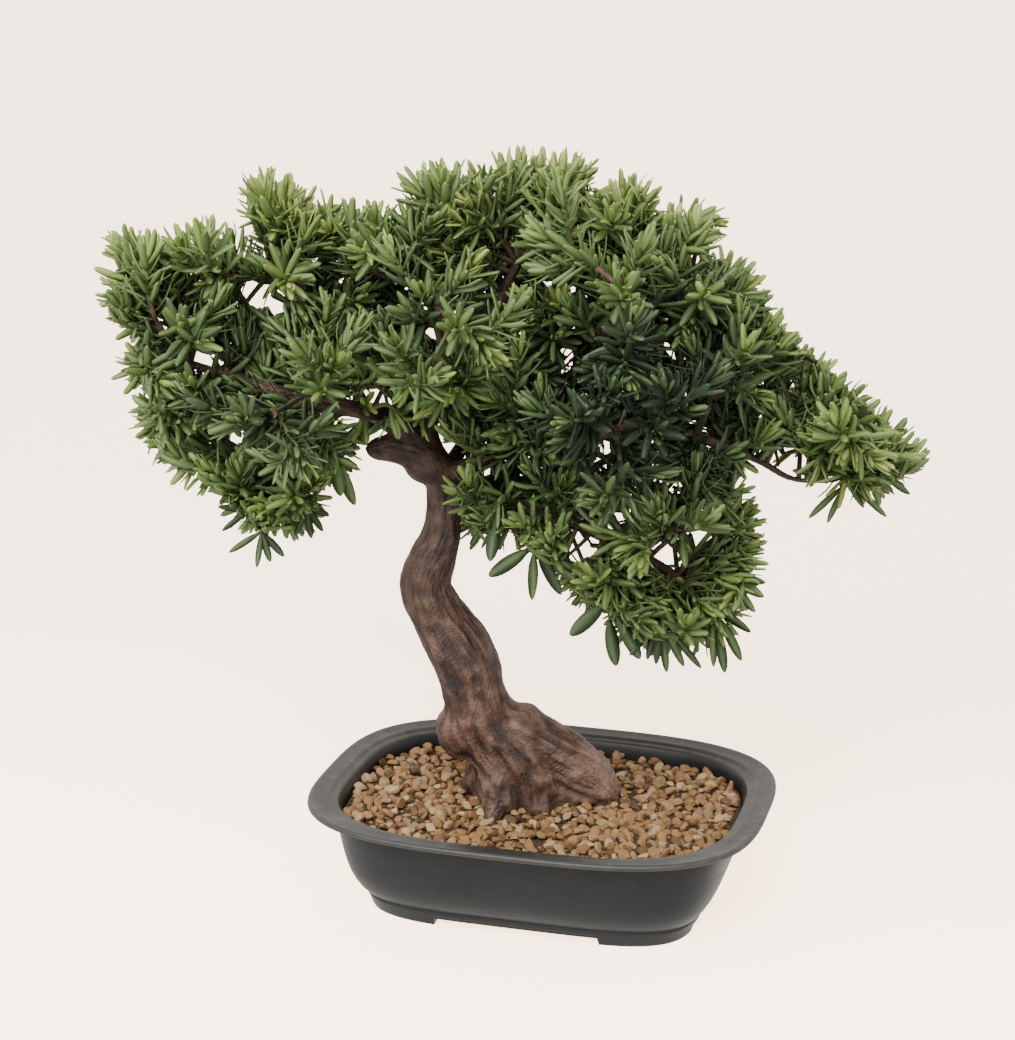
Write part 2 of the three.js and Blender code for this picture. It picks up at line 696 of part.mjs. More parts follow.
// Find a twig that keeps clear of the other boughs' twigs: its root moves back along what carries it
function clearTwig(parent, middle, owner, woodRoom, random) {
  const nearest = nearestOn(parent, middle, CARRIER_START);
  for (let attempt = 0; attempt < TWIG_TRIES; attempt += 1) {
    const sway = () => (random() - 0.5) * TWIG_SWAY * attempt;
    const root = parent.getPoint(Math.max(nearest - TWIG_SHIFT * attempt * random(), EARLIEST_ROOT));
    const curve = twigCurve(root, middle, new THREE.Vector3(sway(), sway(), sway()));
    if (isClear(skin(twigRings(curve, LEAF_CLEARANCE)).subtract(woodRoom), [owner, 'wood'])) {
      return curve;
    }
  }
  return null;
}

function growTwigs(woodRoom, random) {
  const sprays = [];
  for (const [limb, { path, boughs }] of Object.entries(LIMBS)) {
    const limbCurve = new THREE.CatmullRomCurve3(path.map((p) => inPot(p)), false, 'centripetal');
    boughs.forEach((tips, index) => {
      const name = `foliage_${limb}_${index + 1}`;
      let parent = limbCurve;
      for (const tip of tips) {
        const curve = clearTwig(parent, inPot(tip), name, woodRoom, random);
        if (curve) {
          place(skin(twigRings(curve)).subtract(woodRoom), name);
          sprays.push({ name, id: `${name} spray ${sprays.length}`, curve, leaves: [], blades: [] });
          parent = curve;
        }
      }
    });
  }
  return sprays;
}

function leafLength(random) {
  return LEAF_LENGTH * THREE.MathUtils.lerp(SHORTEST_LEAF, LONGEST_LEAF, random());
}

// Grow the leaves, one on each spray in turn. A leaf that has no room is turned or bent, or left out.
function growLeaves(sprays, random) {
  for (const { base, spread, angle, size } of leafPlaces()) {
    sprays.forEach((spray) => {
      const points = twigRings(spray.curve).flat();
      const corners = base.map((k) => points[k]);
      const middle = middleOf(corners);
      const frame = frameAt(spray.curve, nearestOn(spray.curve, middle, 0));
      for (let attempt = 0; attempt < LEAF_TRIES; attempt += 1) {
        const drift = () => (random() - 0.5) * (LEAF_DRIFT + LEAF_DRIFT_STEP * attempt) * RADIANS;
        const plan = {
          angle: angle + drift(),
          spread: spread * RADIANS + drift(),
          length: leafLength(random) * size * (1 - LEAF_SHRINK_STEP * attempt),
          arch: THREE.MathUtils.lerp(...LEAF_ARCH, random()),
        };
        const free = leafSolid(corners, frame, plan, LEAF_CLEARANCE, true);
        const whole = leafSolid(corners, frame, plan, LEAF_CLEARANCE, false);
        const crosses = spray.blades.some((blade) => blade.intersect(free).volume() > 0);
        if (!crosses && isClear(whole, [spray.name, spray.id])) {
          place(leafSolid(corners, frame, plan, 0, false), spray.id);
          spray.blades.push(leafSolid(corners, frame, plan, 0, true));
          spray.leaves.push({ base, frame, plan });
          break;
        }
      }
    });
  }
}

// The largest connected piece of a solid
function mainPiece(solid) {
  return solid.decompose().reduce((big, part) => (part.volume() > big.volume() ? part : big));
}

// The assembly

const bonsai = new THREE.Group();

function addPart(name, solid, finish) {
  const { vertProperties, triVerts } = solid.getMesh();
  const geometry = new THREE.BufferGeometry();
  geometry.setAttribute('position', new THREE.BufferAttribute(vertProperties, 3));
  geometry.setIndex(new THREE.BufferAttribute(triVerts, 1));
  geometry.computeVertexNormals();
  const mesh = new THREE.Mesh(geometry, new THREE.MeshStandardMaterial(finish));
  mesh.name = name;
  bonsai.add(mesh);
}

const wood = woodPieces();
const woodRoom = join(woodPieces(FIT_GAP));
const inside = potInside();

addPart('pot', makePot(), PLASTIC);
addPart('soil', makeSoil(inside, woodRoom), EARTH);
addPart('gravel', makeGravel(inside, woodRoom), PEBBLES);
addPart('trunk', join(wood), BARK);

const random = randomFrom(FOLIAGE_SEED);
wood.forEach((piece) => place(piece, 'wood'));
const sprays = growTwigs(woodRoom, random);
growLeaves(sprays, random);
for (const name of new Set(sprays.map((spray) => spray.name))) {
  const own = sprays.filter((spray) => spray.name === name);
  const bough = join(own.map(({ curve, leaves }) => spraySolid(curve, leaves))).subtract(woodRoom);
  addPart(name, mainPiece(bough), LEAVES);
}

// Stand the whole on z = 0 with the middle of its box over the origin
const box = new THREE.Box3().setFromObject(bonsai);
const middle = box.getCenter(new THREE.Vector3());
bonsai.position.set(-middle.x, -middle.y, -box.min.z);

export default bonsai;
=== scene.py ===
import math

import bmesh
import bpy
import numpy as np
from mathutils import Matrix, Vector, kdtree, noise


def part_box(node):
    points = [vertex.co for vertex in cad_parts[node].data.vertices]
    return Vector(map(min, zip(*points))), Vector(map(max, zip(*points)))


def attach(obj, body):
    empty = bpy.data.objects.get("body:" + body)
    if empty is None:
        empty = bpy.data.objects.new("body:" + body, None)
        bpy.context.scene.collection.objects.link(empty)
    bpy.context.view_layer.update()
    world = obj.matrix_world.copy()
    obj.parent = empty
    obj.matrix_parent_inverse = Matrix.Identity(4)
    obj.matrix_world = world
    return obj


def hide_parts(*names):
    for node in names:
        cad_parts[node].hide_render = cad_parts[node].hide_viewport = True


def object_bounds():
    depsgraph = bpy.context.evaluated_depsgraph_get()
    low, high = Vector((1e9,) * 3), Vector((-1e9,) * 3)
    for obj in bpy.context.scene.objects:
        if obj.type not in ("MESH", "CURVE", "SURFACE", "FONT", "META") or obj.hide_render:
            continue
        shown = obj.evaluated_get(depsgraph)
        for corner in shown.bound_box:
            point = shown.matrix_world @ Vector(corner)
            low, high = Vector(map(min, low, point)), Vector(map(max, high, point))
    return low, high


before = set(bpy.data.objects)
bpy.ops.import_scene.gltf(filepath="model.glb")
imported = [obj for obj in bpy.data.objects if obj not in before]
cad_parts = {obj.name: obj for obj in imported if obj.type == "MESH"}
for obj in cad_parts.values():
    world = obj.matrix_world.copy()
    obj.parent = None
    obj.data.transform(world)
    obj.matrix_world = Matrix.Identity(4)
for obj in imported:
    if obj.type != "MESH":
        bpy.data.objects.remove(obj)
CAD_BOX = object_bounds()

# The looks of a small bonsai tree in a low pot. Lengths are in millimetres, in the pot's own
# frame, and are turned into metres of the shared frame when a piece is made. The tree's points
# are given as seen from its front, and the tree stands turned in its pot by TREE_TURN.
MM = 0.001
TREE_TURN = math.radians(15.5)
POT_LOW, POT_HIGH = (np.array(corner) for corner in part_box("pot"))

# The camera: where it looks, how far away and how high it stands, and its lens
AIM = (-16, 0, 170.5)
CAMERA_DISTANCE = 1000
CAMERA_TILT = math.radians(15.8)
LENS = 81.07
SENSOR = 36
EYE = (
    AIM[0],
    AIM[1] - CAMERA_DISTANCE * math.cos(CAMERA_TILT),
    AIM[2] + CAMERA_DISTANCE * math.sin(CAMERA_TILT),
)

# The studio: its sky, and the floor's rings and how far it lies below the feet
SKY_COLOUR = (1, 0.955, 0.9, 1)
SKY_STRENGTH = 1.48
FLOOR_RADII = (600, 3000, 14000)
FLOOR_SIDES = 64
FLOOR_GAP = 0.02

# The pot
RIM_LENGTH = 200
RIM_WIDTH = 155
RIM_TOP = 48.4
RIM_CORNER = 3.2
BASE_LENGTH = 150
BASE_WIDTH = 100
BASE_CORNER = 4.2
LIP_WIDTH = 13.2
LIP_THICKNESS = 2.6
WALL = 2.4
FLOOR = 3
FOOT_HEIGHT = 2.2
FOOT_DROP = 1.6
FOOT_INSET = 2
FOOT_GAP_LENGTH = 72
FOOT_GAP_WIDTH = 48
BAND_HEIGHT = 6
LEDGE = 0.8
FLOOR_INSET = 7.2
FLOOR_ROUND = 0.5
INSIDE_FLOOR = FOOT_HEIGHT + FLOOR
WALL_TOP_LENGTH = RIM_LENGTH - 2 * LIP_WIDTH + 2 * WALL
WALL_TOP_WIDTH = RIM_WIDTH - 2 * LIP_WIDTH + 2 * WALL
WALL_TOP = RIM_TOP - LIP_THICKNESS
WALL_RISES = (0.02, 0.97)
INNER_RISES = (0.93, 0.02)
OUTLINE_POINTS = 160
WALL_RINGS = 14
LIP_EDGE_RINGS = 9
CHANNEL_SLANT = 0.8

# How far out the wall stands between its foot and its top, at shares of the way up
FLARE_RISES = (0, 0.08, 0.2, 0.35, 0.52, 0.75, 1)
FLARE_SHARES = (0, 0.19, 0.4, 0.565, 0.7, 0.86, 1)

# The rings of the feet and the band: how much smaller than the base, height, and how much lighter the edge is
# laid, as wear and painted highlight
BASE_RINGS = [
    (2 * FOOT_INSET + 2.4, -FOOT_DROP, 0), (2 * FOOT_INSET + 0.8, 0.3 - FOOT_DROP, 0.3),
    (2 * FOOT_INSET, 1.1 - FOOT_DROP, 0.2), (0.8, BAND_HEIGHT - 1.6, 0), (0, BAND_HEIGHT - 0.9, 0.25),
    (0.3, BAND_HEIGHT - 0.3, 0.3), (0.6, BAND_HEIGHT, 0), (0.1, BAND_HEIGHT + 0.4, 0),
]
# The rings under the lip: rise of the wall, and how far out they stand from it
UNDER_LIP = [(1, 0.2), (1, 1.2), (0.985, 3.5)]
UNDER_LIP_GAP = 0.15
# The rings over the lip: how far in from its edge, how far down, the wear of its flat, and how much lighter
# its edges are laid, as wear and painted highlight
LIP_DISH = [
    (2.6, 0.28, 1, 0.2), (4.2, 0.62, 1, 0), (7.6, 0.72, 1, 0), (8.5, 0.8, 1, 0.3), (9.1, 1.5, 0.8, 0.5),
    (9.7, 1.75, 0.9, 0.2), (11.3, 1.8, 0.9, 0.3), (12.2, 2.1, 0.6, 0.8), (12.6, 2.9, 0.2, 0.4),
]
# The lip's rounded outer edge: wear of its flat, and how much lighter it is laid, as wear and painted
# highlight
LIP_EDGE_WEAR_AND_HIGHLIGHT = (0.6, 1)
# The rim's wear is laid less at the middle of its long sides than past these distances, which keeps those
# sides darker than its ends as painted shade
LONG_RIM_SHADE = 0.4
LONG_RIM_SHADE_FADE = (60, 88)

# The pot's middle, at the underside of its base, as a place in the shared frame
POT_MIDDLE = np.array([*(POT_LOW + POT_HIGH)[:2] / 2, POT_LOW[2] + FOOT_DROP * MM])

# The gravel
SOIL_TOP = 36.35
BED_TOP = 39.6
GRAVEL_TOP = 43.6
PEBBLE_PITCH = 4.6
PEBBLE_SHIFT = 1.3
PEBBLE_SIZE = (3.6, 5.8)
PEBBLE_REACH = 0.42
PEBBLE_DEPTH_IN_WOOD = -0.4
GRAVEL_SEED = 11
# Each layer of pebbles: fineness of its stones, height, unevenness, and the share that is left out
PEBBLE_LAYERS = [(1, GRAVEL_TOP - 4.9, 0.4, 0), (2, GRAVEL_TOP - 2.7, 1.2, 0.16)]
# How a ball is cut and stretched to a broken stone
CHIP_CUTS = 8
CHIP_DEPTH = (0.42, 0.8)
CHIP_STRETCH = [(1.05, 1.55), (0.85, 1.2), (0.65, 1)]
CHIP_LEAN = 0.9
# The grit under the pebbles, a dark bed that is also painted shade in the gaps between them: height, and
# distance from the wall
BED_RINGS = [(SOIL_TOP, 0.5), (BED_TOP, 0.5), (BED_TOP, 4)]

# The wood: x, y, z and radius at each point
TRUNK = [
    (-9, 7, 22, 18), (-9, 7, 44, 21), (-13, 5, 62, 19), (-26, 2, 79, 15.5), (-30.5, 0, 93, 13.8),
    (-33.5, 0, 106, 14), (-39, 0, 117, 13.6), (-46.5, 0, 129, 12), (-51.5, 0, 142, 11.2),
    (-48.5, 0, 153, 10.6), (-44.5, 1, 163, 8.6), (-43.5, 1, 175, 7.4), (-44, 2, 185, 7), (-47, 3, 196, 7.4),
]
ROOTS = [
    [(-10, 2, 72, 13), (4, 2, 64, 12.5), (16, 3, 55, 11.5), (24, 4, 47, 9.5), (31, 6, 37, 4.5)],
    [(-2, 12, 60, 12), (12, 20, 50, 8.5), (24, 26, 41, 5.5), (30, 29, 36, 3)],
    [(-16, -2, 60, 12), (-19, -8, 50, 8.5), (-22, -13, 41, 5.5), (-24, -17, 36, 3)],
    [(-4, -1, 60, 11), (-2, -5, 48, 8), (0, -8, 37, 4)],
    [(-20, 8, 58, 11), (-29, 14, 46, 7.5), (-37, 18, 37, 3.5)],
]
STUB = [(-42, 2, 190, 7.5), (-55, 1, 199, 7.2), (-64, 0, 202, 6.2), (-72, -1, 202, 5.2)]

# Rounded swellings of the wood: centre and the three half sizes
BURLS = [
    ((-9, -1, 77), (10, 11, 10.5)),
    ((-36.5, 0, 75), (11.5, 11, 12)),
    ((-50, 0, 195), (10, 9, 8.5)),
    ((-13, 1, 50), (17, 12, 13.3)),
    ((10, 4, 49.5), (20, 10.5, 12.8)),
]

# Small hollows in the bark: middle, radius and depth
PITS = [
    ((-40, -14, 92), 3.4, 1.6), ((-43, -12, 88), 2.4, 1.1), ((-34, -15, 84), 2.6, 0.9),
    ((-47, -10, 124), 3, 0.9), ((-52, -9, 140), 3, 0.8), ((-30, -13, 102), 3, 0.8),
    ((-72, -6, 202), 2.8, 2.2), ((-20, -14, 70), 3, 1),
]

# The wood's mesh, how its joints are melted, and the radius of the wood on which the bark is full
VOXEL = 1
WOOD_SIDES = 20
WOOD_SPACING = 1.6
DOME = 0.7
BURL_FINENESS = 4
MELT_PASSES = 14
MELT_SHARE = 0.6
LEAST_MELT = 0.12
THIN_WOOD = 1.8
THICK_WOOD = 5.8
FULL_BARK = 11
NEAREST_WOOD = 24

# The bark: how far from the wood's path it is looked for, the height of its strands, lumps, flakes
# and grit, the pitch of the last three, and how its relief fades up the trunk
BARK_REACH = 9
BARK_DEPTH = 6
STRAND_HEIGHT = 1.15
BARK_INSET = 0.3
LUMP_HEIGHT = 0.9
FLAKE_HEIGHT = 0.5
GRIT_HEIGHT = 0.22
BARK_PITCHES = (11, 5, 2.2)
RELIEF_LEVELS = (50, 64, 78)
RELIEF_SHARES = (1.25, 0.9, 0.5)
# The big root is paler between these places along it, and the trunk darker between these heights
ROOT_FADE = (4, 26)
ROOT_TOP = 66
TRUNK_FADE = (92, 142)

# The limbs: each has its path and its boughs. A bough is a twig with one or two sprays of
# leaves, given by the middle of each spray.
LIMBS = {
    "leader": (
        [(-46, 3, 192, 7.4), (-51, 5, 208, 5.6), (-46, 7, 224, 4.8), (-34, 8, 240, 4.2),
         (-22, 8, 258, 3.2), (-12, 6, 280, 2)],
        [[(-30, -12, 304), (-8, 4, 314)], [(14, 22, 304)]],
    ),
    "left": (
        [(-48, 2, 194, 6.6), (-56, 1, 206, 5.6), (-67, -1, 216, 4.6), (-85, -4, 221, 3.8),
         (-108, -6, 227, 3), (-132, -6, 234, 2.4), (-148, -6, 240, 1.8)],
        [[(-172, -12, 264), (-168, -26, 240)], [(-158, -8, 216), (-152, 18, 200)],
         [(-146, -44, 262)], [(-128, 8, 252)], [(-62, -28, 240)]],
    ),
    "left_high": (
        [(-47, 4, 200, 4.5), (-62, 8, 222, 3.6), (-82, 10, 246, 2.8), (-100, 10, 264, 2.2),
         (-114, 8, 276, 1.6)],
        [[(-98, 26, 294), (-80, 2, 288)], [(-168, 8, 282), (-146, 34, 278)], [(-118, -2, 304)],
         [(-104, -34, 278)]],
    ),
    "left_low": (
        [(-85, -4, 221, 3), (-98, -8, 210, 2.4), (-110, -10, 194, 2), (-116, -8, 184, 1.6)],
        [[(-126, -18, 172), (-138, -28, 198)], [(-96, -30, 186), (-88, 2, 194)]],
    ),
    "left_back": (
        [(-62, 8, 222, 3), (-80, 28, 230, 2.4), (-98, 46, 234, 1.8)],
        [[(-130, 50, 224), (-110, 72, 240)], [(-88, 62, 212)]],
    ),
    "left_front": (
        [(-69, -1, 216, 3), (-82, -24, 224, 2.4), (-96, -38, 230, 1.8)],
        [[(-124, -50, 224), (-98, -64, 214)], [(-84, -60, 250)]],
    ),
    "top_left": (
        [(-38, 8, 235, 3), (-44, 4, 256, 2.4), (-54, 0, 272, 1.8)],
        [[(-68, -20, 292)], [(-50, 18, 306)], [(-72, 34, 276)]],
    ),
    "top_front": (
        [(-47, 7, 221, 3), (-43, -20, 238, 2.4), (-42, -38, 250, 1.8)],
        [[(-48, -58, 276), (-26, -74, 262)], [(-56, -64, 242)]],
    ),
    "top_back": (
        [(-29, 8, 247, 3), (-20, 34, 262, 2.4), (-12, 48, 272, 1.8)],
        [[(-30, 64, 292), (-6, 78, 264)], [(6, 46, 298)]],
    ),
    "right_high": (
        [(-46, 7, 223, 4.2), (-15, 10, 238, 3.4), (12, 12, 247, 2.8), (38, 10, 252, 2.2),
         (58, 6, 254, 1.7)],
        [[(38, 14, 302), (60, 8, 292)], [(82, 0, 272), (94, 28, 256)], [(22, -12, 308)],
         [(62, -42, 274)]],
    ),
    "right_high_front": (
        [(12, 12, 247, 2.8), (22, -16, 254, 2.2), (28, -38, 260, 1.7)],
        [[(28, -62, 282), (0, -50, 298)], [(30, -78, 250)]],
    ),
    "right_high_back": (
        [(12, 12, 247, 2.8), (28, 38, 250, 2.2), (42, 56, 246, 1.7)],
        [[(68, 54, 276)], [(42, 86, 244)], [(30, 50, 288)], [(80, 72, 226)]],
    ),
    "right": (
        [(-45, 2, 186, 5), (-22, -4, 200, 4.2), (8, -8, 210, 3.6), (38, -10, 213, 3),
         (66, -8, 208, 2.4), (90, -5, 198, 1.8), (104, -4, 190, 1.4), (120, -4, 189, 1.3),
         (132, -3, 192, 1.2)],
        [[(132, -16, 222), (124, -34, 212)], [(154, 0, 199)], [(120, 8, 230), (102, -12, 246)],
         [(78, -46, 252)], [(134, -6, 178)], [(-19, -28, 227)]],
    ),
    "right_front": (
        [(8, -8, 210, 3), (20, -34, 216, 2.4), (28, -50, 222, 1.8)],
        [[(52, -70, 234)], [(8, -80, 232)], [(30, -62, 196)]],
    ),
    "right_back": (
        [(38, -10, 213, 3), (58, 14, 214, 2.4), (76, 34, 210, 1.8)],
        [[(104, 36, 214), (100, 10, 192)], [(84, 62, 190)]],
    ),
    "low_right": (
        [(-44, 1, 176, 4.4), (-26, -8, 181, 3.6), (-2, -14, 178, 3), (24, -16, 168, 2.6),
         (46, -14, 156, 2.2), (60, -10, 146, 1.7)],
        [[(88, -2, 178), (86, -10, 156)], [(72, -6, 122), (56, -24, 126)],
         [(64, -48, 182), (36, -56, 176)], [(30, -26, 138), (0, -24, 160)], [(86, 14, 132)],
         [(-18, -18, 168)]],
    ),
    "back": (
        [(-43, 4, 188, 4), (-34, 28, 198, 3.4), (-20, 50, 202, 2.8), (-2, 66, 200, 2.2),
         (16, 74, 194, 1.7)],
        [[(16, 94, 190), (44, 80, 182)], [(-44, 76, 220), (-8, 92, 226)]],
    ),
    "back_low": (
        [(-34, 28, 198, 2.8), (-18, 40, 182, 2.2), (4, 44, 168, 1.7)],
        [[(20, 54, 146), (48, 40, 140)], [(-18, 62, 160)]],
    ),
}

# More sprays on some of the limbs, which fill the crown between the boughs
FILLING = {
    "leader": [(-38, -8, 285), (-37, -32, 236)],
    "left": [(-140, -30, 226), (-74, -20, 225), (-179, -10, 267), (-158, -18, 216), (-63, -12, 214),
             (-180, -8, 258)],
    "left_high": [(-79, -12, 267), (-173, -6, 283)],
    "left_low": [(-122, -20, 174), (-114, -16, 166), (-102, -22, 185), (-128, -20, 183)],
    "left_front": [(-92, -30, 250)],
    "right_high": [(6, -10, 264), (33, -22, 241), (30, 4, 308), (63, -4, 294)],
    "right": [
        (-5, -24, 211), (-32, -16, 197), (-34, -14, 190), (61, -30, 200), (112, -16, 208),
        (142, -12, 207), (150, -4, 197), (141, -6, 187),
    ],
    "low_right": [
        (6, -28, 190), (0, -26, 167), (27, -28, 150), (35, -25, 133), (74, -12, 173), (-36, -18, 179),
        (28, -18, 124), (40, -24, 125), (19, -20, 134), (-19, -22, 164), (-7, -20, 153), (6, -26, 156),
    ],
}

# The outline to which the crown is pruned, seen from its front: x and z in the tree's middle plane
CROWN = [
    (-187, 268), (-181, 294), (-169, 296), (-158, 294), (-140, 302), (-128, 296), (-126, 314), (-120, 320),
    (-101, 316), (-96, 311), (-79, 308), (-60, 307), (-62, 314), (-45, 324), (-30, 323), (-14, 328),
    (9, 327), (18, 325), (24, 313), (29, 319), (42, 317), (50, 306), (74, 303), (76, 297), (71, 288),
    (79, 286), (90, 277), (96, 262), (111, 247), (129, 233), (143, 219), (159, 206), (170, 198),
    (157, 190), (148, 181), (138, 178), (122, 179), (112, 186), (92, 197), (86, 187), (93, 175), (95, 152),
    (90, 136), (86, 121), (75, 111), (57, 109), (34, 113), (24, 127), (13, 131), (5, 142), (-2, 151),
    (-12, 156), (-22, 156), (-31, 158), (-38, 164), (-44, 172), (-44, 186), (-40, 192), (-47, 207),
    (-66, 207), (-76, 204), (-82, 191), (-92, 183), (-94, 172), (-104, 163), (-122, 162), (-133, 168),
    (-141, 179), (-156, 187), (-164, 193), (-175, 210), (-177, 219), (-171, 223), (-188, 237), (-177, 244),
    (-178, 253), (-187, 262),
]

# Small gaps through the crown, seen from its front: x, z and radius
GAPS = [
    (-120.5, 268.5, 5.5), (-112, 262, 3.2), (-145, 240, 5), (-160, 255, 3.2), (-131, 206, 2.6),
    (-82, 220, 4.5), (-69, 220, 3.4), (16, 160, 6), (52, 155, 5.4), (67, 162, 4.5), (5, 172, 2.5),
    (32, 172, 2.5), (-38.5, 200, 3.4), (-36.5, 198.5, 3.4), (-23, 193, 3), (-46, 251, 3), (-182, 281, 3),
    (-70, 226, 2.4), (107, 196, 3.8), (97, 199.5, 2.4), (52, 243, 1.8), (64, 222.5, 2), (70.5, 204, 1.8),
    (27.5, 201.5, 1.5), (104, 229, 1.6), (-16, 162.5, 3.2), (62, 282.5, 2.4),
]
GAP_SAMPLES = 5

# Where shade is painted into the foliage, seen from the front, which makes its leaves darker as if they were
# older: x, z, the reach along both, and how much darker. It is below zero where light is painted in and the
# leaves are made lighter, as if younger.
PAINTED_SHADE_ZONES = [
    (43, 219, 46, 38, 0.8), (10, 205, 40, 30, 0.2), (-141, 246, 22, 18, 0.3), (-109, 210, 24, 16, 0.3),
    (-62, 258, 17, 13, 0.7), (-135, 219, 13, 11, 0.35), (-117, 299, 20, 14, -0.25), (35, 301, 50, 12, -0.2),
    (122, 206, 22, 12, -0.2), (45, 150, 30, 14, -0.2), (-160, 275, 20, 14, -0.15),
]
# The painted shade fades between these depths, down to this share at the back of the crown
PAINTED_SHADE_FADE = (20, 60)
PAINTED_SHADE_BEHIND = 0.3

# The sprays at the thin right end of the crown, which have no branchlets and smaller leaves
SLIM_SPRAYS = [(154, 0, 199), (134, -6, 178)]
SLIM_SIZE = 0.8

# Bigger leaves that hang free below the crown: the end of the twig that carries them, their width,
# and the x and z of each leaf's tip
HANGING = {
    "low_right": [
        ((-20, -24, 181), 5.6, [(-23.5, 160)]),
        ((-5, -24, 166), 6, [(-24, 153.5), (-5, 143), (7.5, 146), (12.5, 152)]),
        ((26, -24, 142), 6.4, [(10, 127.5), (28.8, 114), (40, 117)]),
        ((48, -22, 134), 3.6, [(43, 116), (47.5, 114), (52, 110.5), (59, 113), (66, 112), (35, 118)]),
        ((72, -14, 136), 4.4, [(84, 113), (77, 107.6), (88, 126), (71, 110)]),
        ((76, -12, 150), 4.6, [(89.5, 134), (94, 148), (93.5, 141)]),
    ],
    "left_low": [
        ((-88, -20, 204), 6.6, [(-78.5, 183.5), (-85, 187)]),
        ((-100, -20, 182), 3.2, [(-92.5, 172), (-104, 169.5), (-98.5, 168.5), (-89.5, 179)]),
        ((-119, -20, 171), 3.2, [(-109, 161), (-115, 158.5), (-121, 156), (-133, 163)]),
        ((-124, -20, 180), 3, [(-136, 172.5), (-137, 183.5)]),
    ],
    "right": [
        ((128, -6, 189), 3, [(110.5, 174), (117.5, 172), (134, 177.5), (145, 175)]),
        ((143, -6, 192), 3, [(154, 184)]),
        ((118, -6, 192), 3.4, [(103, 195)]),
    ],
}
HANGING_LENGTH = 20
STALK_RADIUS = 0.5

# The bare stretch of the right limb, as shares of its length
BARE_STRETCH = {"right": (0.74, 0.88)}

# How yellow-green the sprays are: the range, and how it grows with height, which is painted light that makes
# the top of the crown lighter
VIGOURS = (0.65, 1.2)
PAINTED_LIGHT_LEVELS = (170, 310)
PAINTED_LIGHT_SHARES = (0.95, 1.4)

# The leaves and the shoots that carry them
PLACES_SEED = 5
BOUGH_SEED = 100
TWIG_RADII = (1.3, 1, 0.6)
TWIG_ARCH = 0.12
TWIG_PAST = 4
MIN_STEM_POINTS = 4
LEAFY_LENGTH = 28
LEAFY_SHARE = 0.72
BRANCHLETS = 3
BRANCHLET_STRETCH = (0.35, 0.8)
BRANCHLET_LENGTH = (16, 24)
BRANCHLET_LEAN = (45, 65)
SHOOT_PITCH = 8
SHOOT_LENGTH = (14, 22)
SHOOT_LEAN = (45, 70)
SHORTEST_SHOOT = 6
SHOOT_RISE = 0.22
SHOOT_RADII = (0.85, 0.5)
SHOOT_POINTS = 6
INNER_PITCH = 21
INNER_DEPTH = (2, 46)
INNER_EDGE = 9
EDGE_PITCH = 9
EDGE_INSET = 12
EDGE_DEPTH = (-24, 30)
EDGE_LEAFY_LENGTH = 16
EDGE_START = 1.5
EDGE_SIZE = 1.12
OUTSIDE_COST = 8
INSIDE_MARGIN = 3.5
EDGE_MARGIN = -5
HANGING_MARGIN = -40
STEM_SIDES = 5
LEAF_STEP = 0.8
CARRIER_START = 0.3
LEAF_LENGTH = 15
LEAF_WIDTH = 3.45
LEAF_THICKNESS = 0.55
LEAF_LIFT = 0.16
# A leaf's size, and its spread in degrees: at the tip of a shoot, far below it, and how soon they change
LEAF_SIZE = (0.6, 1.04, 6)
LEAF_SPREAD = (14, 74, 9)
# The lowest and highest of what differs from leaf to leaf
LEAF_SIZES = (0.84, 1.12)
LEAF_WIDTHS = (0.86, 1.1)
LEAF_BENDS = (-0.3, 1)
LEAF_FOLDS = (0.05, 0.3)
LEAF_TWISTS = (-0.6, 0.6)
LEAST_BEND = 0.05
HANGING_WIDTHS = (0.88, 1.1)
HANGING_BENDS = (0.1, 0.5)
HANGING_FOLDS = (0.05, 0.25)
HANGING_TWISTS = (-0.5, 0.5)
# The hanging leaves get low ages, so they are darker: partly as older leaves, partly as painted shade beneath
# the crown
HANGING_AGES_AND_SHADE = (-0.3, 0.05)
LEAF_PROFILE = [(0, 0.3), (0.2, 0.82), (0.58, 1), (0.9, 0.68)]
LARGE_LEAF_PROFILE = [
    (0, 0.25), (0.1, 0.5), (0.24, 0.8), (0.4, 0.96), (0.58, 1), (0.74, 0.9), (0.87, 0.68), (0.96, 0.36),
]
LEAF_ACROSS = np.array([-1, 0, 1, 0])
LEAF_RISE = np.array([0, 0.35, 0, -0.55])
GOLDEN_ANGLE = math.radians(137.5)
WOOD_ROOM = 0.3
ROOM_PAST_BOX = 4


# Points and curves


def in_pot(points):
    """Points of the tree, seen from its front, as points of the pot's frame."""
    points = np.asarray(points, float)
    cos, sin = math.cos(TREE_TURN), math.sin(TREE_TURN)
    x, y, z = points[..., 0], points[..., 1], points[..., 2]
    return np.stack([x * cos - y * sin, x * sin + y * cos, z], -1)


def seen_from_front(points):
    """Where the lines of sight to points of the pot's frame cross the tree's middle plane: x and z."""
    cos, sin = math.cos(TREE_TURN), math.sin(TREE_TURN)
    x, y, z = points[..., 0], points[..., 1], points[..., 2]
    x, y = x * cos + y * sin, y * cos - x * sin
    share = EYE[1] / (EYE[1] - y)
    return np.stack([EYE[0] + (x - EYE[0]) * share, EYE[2] + (z - EYE[2]) * share], -1)


def at_depth(place, y):
    """The point at a depth that shows at a place of the tree's middle plane, in the pot's frame."""
    share = (EYE[1] - y) / EYE[1]
    return in_pot((EYE[0] + (place[0] - EYE[0]) * share, y, EYE[2] + (place[1] - EYE[2]) * share))


